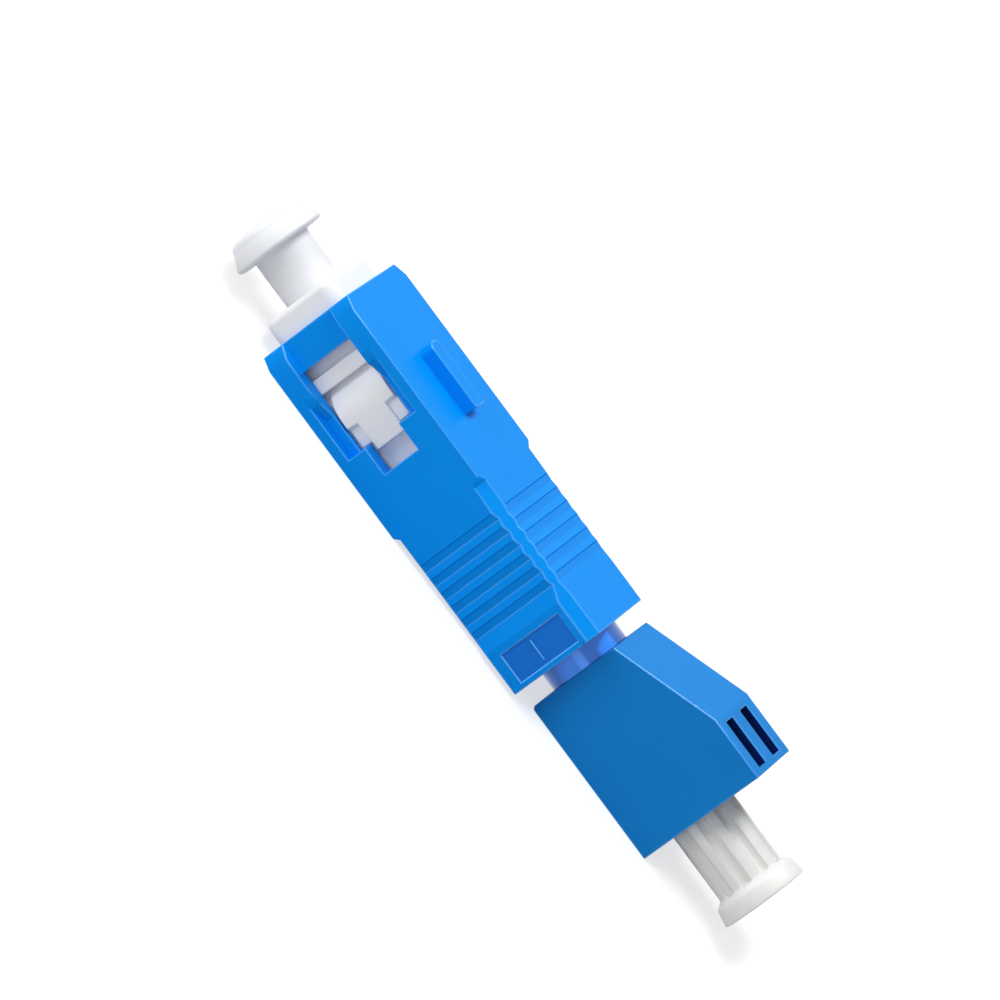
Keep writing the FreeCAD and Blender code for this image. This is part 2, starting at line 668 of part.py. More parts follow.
def sleeve_holder():
    """Flanged tube that stands in the port and traps the split sleeve behind its lip."""
    piece = Piece("lc_sleeve_holder", SPIGOT_END)
    lip = f"({HOLDER_LENGTH} - holder_lip)"
    flange = f"{SPIGOT_DIA} / 2"
    tube = f"{HOLDER_DIA} / 2"
    inner = f"{HOLDER_BORE} / 2"
    pin_hole = f"{PIN_PASSAGE} / 2"
    piece.turn([("0", inner), ("0", flange), ("holder_flange", flange), ("holder_flange", tube),
                (HOLDER_LENGTH, tube), (HOLDER_LENGTH, pin_hole), (lip, pin_hole), (lip, inner)])
    return piece.body


def split_sleeve():
    """Ceramic alignment sleeve, slit along its top."""
    piece = Piece("lc_split_sleeve", SLEEVE_START)
    piece.pad(piece.circles("YZ_Plane", SLEEVE_DIA, SLEEVE_BORE), "sleeve_length")
    slit = box("-sleeve_slot / 2", "0", "sleeve_slot / 2", SLEEVE_DIA)
    piece.cut(piece.sketch("YZ_Plane", slit), along_normal=True)
    return piece.body


def dust_cap():
    """Soft cap over the plug's ferrule, with a domed head to pull it by, its edge rounded in two steps."""
    piece = Piece("sc_dust_cap", FRAME_FRONT)
    top = "(0 - cap_neck - cap_head)"
    crown = "(cap_top_dia / 2 - cap_round)"
    crown_radius = f"({crown} * {crown} + cap_dome * cap_dome) / (2 * cap_dome)"
    bore_end = "(0 - ferrule_reach - cap_tip_room)"
    stem = f"{CAP_STEM} / 2"
    inner = f"{CAP_BORE} / 2"
    piece.turn([(CAP_INSERT, stem), ("-cap_neck", stem),
                ("-cap_neck", "cap_rim_dia / 2 - cap_rim_bevel"),
                ("-cap_neck - cap_rim_bevel", "cap_rim_dia / 2"),
                (f"{top} + cap_dome + cap_round", "cap_top_dia / 2"),
                (f"{top} + cap_dome + cap_round * {HALF_WAY}", f"cap_top_dia / 2 - cap_round * {HALF_WAY}"),
                (f"{top} + cap_dome", crown, crown_radius), (top, "0"), (bore_end, "0"),
                (bore_end, inner), (CAP_INSERT, inner)])
    return piece.body


def dust_plug():
    """Fluted plug in the socket, hollow so that it passes over the sleeve holder."""
    piece = Piece("lc_dust_plug", SOCKET_MOUTH)
    radius = f"{PLUG_STEM} / 2"
    inner = f"{PLUG_BORE} / 2"
    end = "(plug_neck + plug_flange)"
    bore_end = f"({end} - plug_end_wall)"
    piece.turn([("-plug_insert", inner), ("-plug_insert", f"{radius} - plug_lead"),
                ("-plug_insert + plug_lead", radius), ("plug_neck", radius),
                ("plug_neck + plug_shoulder", "plug_collar_dia / 2"), (end, "plug_rim_dia / 2"), (end, "0"),
                (bore_end, "0"), (bore_end, inner)])
    centre = ("0", f"{radius} + flute_width / 2 - flute_depth")
    flute = piece.circles("YZ_Plane", "flute_width", offset="-plug_insert", centre=centre)
    groove = piece.cut(flute, "plug_insert + plug_neck", along_normal=True)
    pattern = piece.body.newObject("PartDesign::PolarPattern", "Flutes")
    pattern.Originals = [groove]
    pattern.Axis = (piece.planes["X_Axis"], [""])
    pattern.Angle = AROUND
    bind(pattern, "Occurrences", "flute_count")
    piece.body.Tip = pattern
    doc.recompute()
    return piece.body


def write_steps(bodies):
    """Check every object and shape, then write one STEP file for each sub-part."""
    doc.recompute()
    for item in doc.Objects:
        if "Invalid" in item.State or "Error" in item.State:
            raise RuntimeError(f"{item.Label} failed: {item.State}")
    for body in bodies:
        if body.Shape.isNull() or not body.Shape.isValid():
            raise RuntimeError(f"{body.Label} has no valid shape")
    os.makedirs("parts", exist_ok=True)
    for body in bodies:
        body.Shape.exportStep(f"parts/{body.Label}.step")


write_steps([
    outer_housing(),
    plug_frame(),
    ferrule("sc_ferrule", FERRULE_TIP, "ferrule_dia", "ferrule_length", "ferrule_bevel"),
    ferrule("lc_ferrule", PIN_TIP, "pin_dia", PIN_LENGTH, "pin_bevel", back="-1"),
    ferrule_flange(),
    optical_fibre(),
    ferrule_spring(),
    barrel(),
    socket_housing(),
    sleeve_holder(),
    split_sleeve(),
    dust_cap(),
    dust_plug(),
])
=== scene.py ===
"""Studio scene of a hybrid fibre adapter: push-pull plug and latching socket on a plated barrel.

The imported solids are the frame. Most shown pieces are merged copies of their solids with the small
edge breaks that moulding and turning leave; the dust cap, the coil, the plates in the sunk panels
and the tool mark are modelled here. Every piece gets a finish made of nodes. Lengths in the classes
are millimetres.
"""

from __future__ import annotations

import json
import logging
import math
from collections.abc import Callable
from dataclasses import dataclass, field
from enum import Enum
from typing import Any, Protocol

import bmesh
import bpy
from mathutils import Matrix, Vector

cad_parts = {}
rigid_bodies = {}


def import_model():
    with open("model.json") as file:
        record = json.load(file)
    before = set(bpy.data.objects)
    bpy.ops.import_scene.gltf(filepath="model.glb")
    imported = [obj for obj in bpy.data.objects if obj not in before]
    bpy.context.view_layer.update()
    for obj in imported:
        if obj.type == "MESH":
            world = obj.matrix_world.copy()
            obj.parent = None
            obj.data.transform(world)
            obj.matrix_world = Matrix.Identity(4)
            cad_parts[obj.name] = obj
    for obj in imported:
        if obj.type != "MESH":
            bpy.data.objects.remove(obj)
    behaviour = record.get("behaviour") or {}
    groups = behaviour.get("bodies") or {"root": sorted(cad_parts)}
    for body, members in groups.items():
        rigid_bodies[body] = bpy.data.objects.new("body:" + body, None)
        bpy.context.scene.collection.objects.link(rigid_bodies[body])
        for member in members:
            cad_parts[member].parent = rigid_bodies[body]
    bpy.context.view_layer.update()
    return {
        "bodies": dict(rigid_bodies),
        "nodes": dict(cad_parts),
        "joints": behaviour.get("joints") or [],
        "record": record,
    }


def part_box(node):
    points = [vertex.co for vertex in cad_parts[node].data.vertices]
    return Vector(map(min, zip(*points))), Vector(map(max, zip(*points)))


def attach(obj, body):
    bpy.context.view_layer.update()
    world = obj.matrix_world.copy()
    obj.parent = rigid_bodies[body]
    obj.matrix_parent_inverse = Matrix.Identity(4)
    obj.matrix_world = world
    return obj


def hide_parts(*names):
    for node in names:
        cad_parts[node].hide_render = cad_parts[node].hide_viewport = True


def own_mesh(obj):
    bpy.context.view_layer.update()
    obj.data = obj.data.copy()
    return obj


LOG = logging.getLogger("fibre_adapter")
MM = 0.001

# The share of its normal that a face turns one way to count as looking there, or as square to it.
FACING = 0.9
SQUARE = 0.99

# Faces across the smallest rounds.
FINE_STEPS = 2


class Body(Enum):
    """The bodies that move apart from each other."""

    CORE = "adapter_core"
    GRIP = "outer_housing"
    STUB = "ferrule_stub"
    CAP = "sc_cap"
    PLUG = "lc_plug"


class Slot(Enum):
    """The record's material slots."""

    GRIP = "grip_plastic"
    SOCKET = "socket_plastic"
    FRAME = "frame_plastic"
    ZIRCONIA = "zirconia"
    NICKEL = "nickel_plate"
    STEEL = "spring_steel"
    GLASS = "fibre_glass"
    CAP = "cap_plastic"
    PLUG = "plug_plastic"


def linear(code: str) -> tuple[float, float, float, float]:
    """Turn a colour written as sRGB hex into linear light.

    Args:
        code: Six hex digits after a hash sign.

    Returns:
        Red, green, blue and an alpha of one.
    """
    shares = [int(code[place:place + 2], 16) / 255 for place in (1, 3, 5)]
    curve = [
        share / 12.92 if share <= 0.04045 else ((share + 0.055) / 1.055) ** 2.4 for share in shares
    ]
    return curve[0], curve[1], curve[2], 1.0


def add_node(
    tree: bpy.types.NodeTree,
    kind: str,
    settings: dict[str | int, Any] | None = None,
    links: dict[str | int, bpy.types.NodeSocket] | None = None,
) -> bpy.types.Node:
    """Add a shader node, set it up and feed its inputs.

    Args:
        tree: The material's or the world's node tree.
        kind: The node's type name.
        settings: Values for the node's own properties or, where it has none of that name, for
            its inputs.
        links: Sockets that feed the node's inputs.

    Returns:
        The new node.
    """
    node = tree.nodes.new(kind)
    for name, value in (settings or {}).items():
        if isinstance(name, str) and hasattr(node, name):
            setattr(node, name, value)
        else:
            node.inputs[name].default_value = value
    for name, socket in (links or {}).items():
        tree.links.new(socket, node.inputs[name])
    return node


def new_tree(name: str) -> tuple[bpy.types.Material, bpy.types.NodeTree, bpy.types.NodeSocket]:
    """Start a material.

    Args:
        name: The material's name.

    Returns:
        The material, its empty node tree and the socket of Object coordinates in millimetres.
    """
    material = bpy.data.materials.new(name)
    material.use_nodes = True
    tree = material.node_tree
    tree.nodes.clear()
    place = add_node(tree, "ShaderNodeTexCoord")
    scaled = add_node(
        tree,
        "ShaderNodeVectorMath",
        {"operation": "SCALE", "Scale": 1 / MM},
        {0: place.outputs["Object"]},
    )
    return material, tree, scaled.outputs[0]


def add_skin(
    tree: bpy.types.NodeTree,
    gloss: bpy.types.NodeSocket,
    relief: bpy.types.NodeSocket,
    roughness: float,
    spread: float,
    depth_mm: float,
) -> dict[str | int, bpy.types.NodeSocket]:
    """Let one pattern vary a finish's gloss and another raise its relief.

    Args:
        tree: The material's node tree.
        gloss: The pattern that the gloss follows.
        relief: The pattern that stands out.
        roughness: The middle roughness.
        spread: How far it goes up and down.
        depth_mm: How far the relief stands out.

    Returns:
        What feeds the surface's roughness and normal.
    """
    shine = add_node(
        tree,
        "ShaderNodeMapRange",
        {"To Min": roughness - spread, "To Max": roughness + spread},
        {"Value": gloss},
    )
    bump = add_node(
        tree, "ShaderNodeBump", {"Strength": 1.0, "Distance": depth_mm * MM}, {"Height": relief}
    )
    return {"Roughness": shine.outputs[0], "Normal": bump.outputs[0]}


def close_tree(
    tree: bpy.types.NodeTree,
    settings: dict[str | int, Any],
    links: dict[str | int, bpy.types.NodeSocket],
) -> None:
    """Close a material's tree with the surface that its nodes lead to.

    Args:
        tree: The material's node tree.
        settings: The surface's even values.
        links: Sockets that feed its other values.
    """
    shader = add_node(tree, "ShaderNodeBsdfPrincipled", settings, links)
    add_node(tree, "ShaderNodeOutputMaterial", links={"Surface": shader.outputs[0]})


class Finish(Protocol):
    """What a piece is made of and how it was made."""

    name: str

    def material(self) -> bpy.types.Material:
        """Build the material."""


@dataclass(frozen=True)
class MouldedPbt:
    """Injection-moulded PBT: a satin skin from a spark-eroded tool, with faint flow clouds.

    Real erosion grain is a few hundredths of a millimetre; it is drawn coarser, so that it shows.
    """

    name: str
    colour: str
    cloud_colour: str
    roughness: float = 0.36
    gloss_spread: float = 0.04
    specular: float = 0.06
    ior: float = 1.55
    grain_mm: float = 0.11
    grain_depth_mm: float = 0.0011
    cloud_mm: float = 5.0

    def material(self) -> bpy.types.Material:
        """Build the material.

        Returns:
            The moulded plastic.
        """
        material, tree, place = new_tree(self.name)
        clouds, grain = (
            add_node(
                tree, "ShaderNodeTexNoise", {"Scale": 1 / size, "Detail": detail}, {"Vector": place}
            ).outputs["Fac"]
            for size, detail in ((self.cloud_mm, 3.0), (self.grain_mm, 2.0))
        )
        colour = add_node(
            tree,
            "ShaderNodeMix",
            {"data_type": "RGBA", 6: linear(self.colour), 7: linear(self.cloud_colour)},
            {0: clouds},
        )
        gloss, spread = self.roughness, self.gloss_spread
        links = add_skin(tree, clouds, grain, gloss, spread, self.grain_depth_mm)
        links["Base Color"] = colour.outputs[2]
        close_tree(tree, {"IOR": self.ior, "Specular IOR Level": self.specular}, links)
        return material


@dataclass(frozen=True)
class SoftPolyethylene:
    """Moulded LDPE: a waxy skin over a milky body that lets a little light through."""

    name: str
    colour: str
    roughness: float = 0.42
    gloss_spread: float = 0.06
    ior: float = 1.51
    clearness: float = 0.1
    subsurface: float = 0.3
    scatter_mm: float = 1.2
    scatter_tint: tuple[float, float, float] = (1.0, 0.98, 0.95)
    wax_mm: float = 0.6
    wax_depth_mm: float = 0.003

    def material(self) -> bpy.types.Material:
        """Build the material.

        Returns:
            The soft plastic.
        """
        material, tree, place = new_tree(self.name)
        wax = add_node(
            tree,
            "ShaderNodeTexNoise",
            {"Scale": 1 / self.wax_mm, "Detail": 3.0},
            {"Vector": place},
        ).outputs["Fac"]
        gloss, spread = self.roughness, self.gloss_spread
        links = add_skin(tree, wax, wax, gloss, spread, self.wax_depth_mm)
        settings = {
            "Base Color": linear(self.colour),
            "IOR": self.ior,
            "Transmission Weight": self.clearness,
            "Subsurface Weight": self.subsurface,
            "Subsurface Radius": self.scatter_tint,
            "Subsurface Scale": self.scatter_mm * MM,
        }
        close_tree(tree, settings, links)
        return material


@dataclass(frozen=True)
class TurnedMetal:
    """Turned or drawn metal: fine rings round the axis draw each reflection out along it.

    A lacquer, where there is one, lays a clear gloss over the metal. Real feed marks are a few
    hundredths of a millimetre apart; they are drawn coarser, so that they show.
    """

    name: str
    colour: str
    roughness: float
    gloss_spread: float = 0.05
    anisotropy: float = 0.95
    ring_turn: float = 0.25
    lacquer: float = 0.0
    lacquer_roughness: float = 0.1
    ring_mm: float = 0.12
    ring_depth_mm: float = 0.0008

    def material(self) -> bpy.types.Material:
        """Build the material.

        Returns:
            The metal.
        """
        material, tree, place = new_tree(self.name)
        along = add_node(tree, "ShaderNodeSeparateXYZ", links={0: place})
        rings = add_node(
            tree,
            "ShaderNodeTexNoise",
            {"noise_dimensions": "1D", "Scale": 1 / self.ring_mm, "Detail": 3.0},
            {"W": along.outputs["X"]},
        ).outputs["Fac"]
        tangent = add_node(tree, "ShaderNodeTangent", {"direction_type": "RADIAL", "axis": "X"})
        gloss, spread = self.roughness, self.gloss_spread
        links = add_skin(tree, rings, rings, gloss, spread, self.ring_depth_mm)
        links["Tangent"] = tangent.outputs[0]
        settings = {
            "Base Color": linear(self.colour),
            "Metallic": 1.0,
            "Anisotropic": self.anisotropy,
            "Anisotropic Rotation": self.ring_turn,
            "Coat Weight": self.lacquer,
            "Coat Roughness": self.lacquer_roughness,
        }
        close_tree(tree, settings, links)
        return material


@dataclass(frozen=True)
class GroundZirconia:
    """Sintered zirconia, ground round and polished at the tip: dense white ceramic, hard gloss.

    Real grinding marks are finer than a hundredth of a millimetre; they are drawn coarser, so
    that they show.
    """

    name: str
    colour: str
    roughness: float = 0.13
    gloss_spread: float = 0.05
    ior: float = 2.1
    subsurface: float = 0.4
    scatter_mm: float = 0.3
    grind_mm: float = 0.08
    grind_depth_mm: float = 0.0004

    def material(self) -> bpy.types.Material:
        """Build the material.

        Returns:
            The ceramic.
        """
        material, tree, place = new_tree(self.name)
        along = add_node(tree, "ShaderNodeSeparateXYZ", links={0: place})
        marks = add_node(
            tree,
            "ShaderNodeTexNoise",
            {"noise_dimensions": "1D", "Scale": 1 / self.grind_mm, "Detail": 2.0},
            {"W": along.outputs["X"]},
        ).outputs["Fac"]
        gloss, spread = self.roughness, self.gloss_spread
        links = add_skin(tree, marks, marks, gloss, spread, self.grind_depth_mm)
        settings = {
            "Base Color": linear(self.colour),
            "IOR": self.ior,
            "Subsurface Weight": self.subsurface,
            "Subsurface Scale": self.scatter_mm * MM,
        }
        close_tree(tree, settings, links)
        return material


@dataclass(frozen=True)
class DrawnGlass:
    """Drawn silica fibre: clear glass with a fire-polished skin and faint draw ripples."""

    name: str
    colour: str
    smoothest: float = 0.02
    roughest: float = 0.06
    ior: float = 1.458
    ripple_mm: float = 0.9

    def material(self) -> bpy.types.Material:
        """Build the material.

        Returns:
            The glass.
        """
        material, tree, place = new_tree(self.name)
        ripple = add_node(
            tree,
            "ShaderNodeTexNoise",
            {"Scale": 1 / self.ripple_mm, "Detail": 1.0},
            {"Vector": place},
        )
        gloss = add_node(
            tree,
            "ShaderNodeMapRange",
            {"To Min": self.smoothest, "To Max": self.roughest},
            {"Value": ripple.outputs["Fac"]},
        )
        colour = linear(self.colour)
        settings = {"Base Color": colour, "IOR": self.ior, "Transmission Weight": 1.0}
        close_tree(tree, settings, {"Roughness": gloss.outputs[0]})
        return material


@dataclass(frozen=True)
class StudioPaper:
    """Matt white paper: lights the part from below, looks white and keeps the shadow."""

    name: str = "matt studio paper"
    bounce: float = 0.55
    glow: float = 0.65
    tooth_per_mm: float = 1.5
    tooth_depth_mm: float = 0.02
    tooth_strength: float = 0.2

    def material(self) -> bpy.types.Material:
        """Build the material.

        Returns:
            The paper.
        """
        material, tree, place = new_tree(self.name)
        tooth = add_node(
            tree,
            "ShaderNodeTexNoise",
            {"Scale": self.tooth_per_mm, "Detail": 4.0},
            {"Vector": place},
        )
        bump = add_node(
            tree,
            "ShaderNodeBump",
            {"Strength": self.tooth_strength, "Distance": self.tooth_depth_mm * MM},
            {"Height": tooth.outputs["Fac"]},
        )
        matt = add_node(
            tree,
            "ShaderNodeBsdfDiffuse",
            {"Color": (self.bounce, self.bounce, self.bounce, 1.0)},
            {"Normal": bump.outputs[0]},
        )
        strength = add_node(
            tree, "ShaderNodeMath", {"operation": "MULTIPLY", 1: self.glow}, {0: seen_rays(tree)}
        )
        glow = add_node(tree, "ShaderNodeEmission", links={"Strength": strength.outputs[0]})
        both = add_node(
            tree, "ShaderNodeAddShader", links={0: matt.outputs[0], 1: glow.outputs[0]}
        )
        add_node(tree, "ShaderNodeOutputMaterial", links={"Surface": both.outputs[0]})
        return material


def seen_rays(tree: bpy.types.NodeTree) -> bpy.types.NodeSocket:
    """Tell rays that carry the background to the eye from those that only light the object.

    Args:
        tree: The node tree of the floor or the world.

    Returns:
        A socket that is one for camera, glossy and transmission rays.
    """
    path = add_node(tree, "ShaderNodeLightPath")
    direct = add_node(
        tree,
        "ShaderNodeMath",
        {"operation": "MAXIMUM"},
        {0: path.outputs["Is Camera Ray"], 1: path.outputs["Is Glossy Ray"]},
    )
    through = add_node(
        tree,
        "ShaderNodeMath",
        {"operation": "MAXIMUM"},
        {0: direct.outputs[0], 1: path.outputs["Is Transmission Ray"]},
    )
    return through.outputs[0]


FINISHES: dict[Slot, Finish] = {
    # An even, satin blue, clear on the grip and deeper on the socket.
    Slot.GRIP: MouldedPbt("moulded PBT, clear blue", "#0092F5", "#008FF0"),
    Slot.SOCKET: MouldedPbt("moulded PBT, deep blue", "#1484D6", "#1280D0"),
    # A cool white with more gloss than the blue mouldings.
    Slot.FRAME: MouldedPbt("moulded PBT, white", "#F3F3F5", "#EFF0F2", specular=0.4),
    # A warm, hard white.
    Slot.ZIRCONIA: GroundZirconia("ground zirconia", "#F4F1E8"),
    # The plate is drawn blue: a painted reflection of the blue mouldings round it, under a clear
    # lacquer.
    Slot.NICKEL: TurnedMetal(
        "lacquered nickel plate on turned brass", "#0C62BC", roughness=0.26, lacquer=1.0
    ),
    # A neutral grey with long, soft streaks.
    Slot.STEEL: TurnedMetal("drawn stainless wire", "#C2C2C0", roughness=0.3, anisotropy=0.3),
    # Nearly colourless and clear.
    Slot.GLASS: DrawnGlass("drawn silica", "#F2FAFA"),
    # Milky and a little cool, duller than the plug.
    Slot.CAP: SoftPolyethylene("milky LDPE", "#F2F4FA", roughness=0.5),
    # A warmer, waxy white.
    Slot.PLUG: SoftPolyethylene("white LDPE", "#F4F4F1"),
}

# A tool polishes the rims of a moulding as they leave it, so edges shine more than the satin faces;
# their lighter blue is a painted highlight.
EDGES: dict[Slot, Finish] = {
    Slot.GRIP: MouldedPbt(
        "burnished PBT, painted highlight, clear blue", "#109CFC", "#0E98F6", roughness=0.24, specular=0.5
    ),
    Slot.SOCKET: MouldedPbt(
        "burnished PBT, painted highlight, deep blue", "#2498F2", "#2194EC", roughness=0.24, specular=0.5
    ),
}

# The sunk panels have a coarser, deeper eroded grain and are drawn in a darker, greyer blue.
ERODED_PANEL = MouldedPbt(
    "spark-eroded PBT, clear blue",
    "#1B77DC",
    "#1873D6",
    roughness=0.6,
    grain_mm=0.16,
    grain_depth_mm=0.004,
)

# Thin lines of painted shade along the crests of the ribs: a dull, darker blue.
PAINTED_SHADE_CREST = MouldedPbt(
    "PBT, painted crest shade, clear blue", "#0070D4", "#006CCE", roughness=0.7, specular=0.02
)

# Raised lines are drawn in a pale blue: a painted highlight.
PAINTED_HIGHLIGHT_LINE = MouldedPbt(
    "PBT, painted highlight line, clear blue", "#66B8FF", "#5FB2FA", roughness=0.3, specular=0.4
)

# Core pins form the latch windows; their walls are drawn dark navy, painted shade as if next to no
# light came back out of them.
PAINTED_SHADE_WALL = MouldedPbt(
    "PBT, painted window shade, deep blue", "#0B2C74", "#0A286A", roughness=0.7, specular=0.04
)


def only(piece: bpy.types.Object) -> None:
    """Make a piece the only selected and the active object.

    Args:
        piece: The object to work on.
    """
    bpy.ops.object.select_all(action="DESELECT")
    piece.select_set(True)
    bpy.context.view_layer.objects.active = piece


def axis_height() -> float:
    """Look up the height of the optical axis over the floor.

    Returns:
        The height of the barrel's middle, in metres.
    """
    low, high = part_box("barrel")
    return (low.z + high.z) / 2


@dataclass(frozen=True)
class Ribs:
    """A stretch of shallow ribs across the part.

    Attributes:
        start: Where the stretch starts along the axis, in metres.
        end: Where it ends.
        crease_deg: Edges that turn by more than this are crisp.
        root_deg: Inner corners on the two sides that turn by more than this have a small round.
        root_mm: Width of that round.
        crest_deg: Outer edges that turn by more than this get a line of painted shade.
        crest_mm: Width of that painted shade line.
        fall_deg: Slopes that fall by more than this along the axis follow a crest.
        level_mm: How far the ends of an edge across the part may differ.
        upright: How many times further an upright edge rises than it goes across.
    """

    start: float
    end: float
    crease_deg: float = 7.5
    root_deg: float = 18.0
    root_mm: float = 0.035
    crest_deg: float = 9.0
    crest_mm: float = 0.04
    fall_deg: float = 5.0
    level_mm: float = 0.01
    upright: float = 2.0

    def crossed_by(self, edge: bmesh.types.BMEdge) -> bool:
        """Tell whether an edge runs across the stretch.

        Args:
            edge: The edge to look at.

        Returns:
            True if the edge is in the stretch and square to the axis.
        """
        one, two = (vertex.co.x for vertex in edge.verts)
        return abs(one - two) < self.level_mm * MM and self.start < one < self.end

    def crested_by(self, edge: bmesh.types.BMEdge) -> bool:
        """Tell whether an edge is the crest of a rib.

        Args:
            edge: The edge to look at.

        Returns:
            True if the edge runs across the stretch and the part falls behind it.
        """
        fall = math.sin(math.radians(self.fall_deg))
        return self.crossed_by(edge) and any(face.normal.x > fall for face in edge.link_faces)

    def stood_on_by(self, edge: bmesh.types.BMEdge) -> bool:
        """Tell whether an edge runs upright across the stretch, on one of the two sides.

        Args:
            edge: The edge to look at.

        Returns:
            True if the edge is in the stretch and rises more than it goes across.
        """
        run = edge.verts[1].co - edge.verts[0].co
        return self.crossed_by(edge) and abs(run.z) > self.upright * abs(run.y)


@dataclass(frozen=True)
class Crisp:
    """A stretch whose edges stay as they are.

    Attributes:
        start: Where the stretch starts along the axis, in metres.
        end: Where it ends.
        cut: Whether edges that run on are cut at its end.
        spare_mm: How far an edge in the stretch may reach past it.
    """

    start: float
    end: float
    cut: bool = False
    spare_mm: float = 0.01

    def holds(self, edge: bmesh.types.BMEdge) -> bool:
        """Tell whether an edge lies in the stretch.

        Args:
            edge: The edge to look at.

        Returns:
            True if both its ends do.
        """
        low, high = self.start - self.spare_mm * MM, self.end + self.spare_mm * MM
        return all(low < vertex.co.x < high for vertex in edge.verts)


@dataclass(frozen=True)
class EdgeBreak:
    """How a copied solid's edges are broken.

    Attributes:
        width_mm: Width of the break along sharp edges.
        segments: Faces across it.
        sharp_deg: Outer edges that turn by more than this are broken.
        soft_hollows: Whether inner corners are rounded as well.
        crisp: The stretches whose edges stay as they are.
        ribs: The stretch with round roots and painted shade lines on its crests, whose shallow
            creases stay crisp.
        ring: Corners of a rectangle to cut round the sunk panels.
    """

    width_mm: float
    segments: int = 3
    sharp_deg: float = 30.0
    soft_hollows: bool = False
    crisp: tuple[Crisp, ...] = ()
    ribs: Ribs | None = None
    ring: tuple[Vector, Vector] | None = None


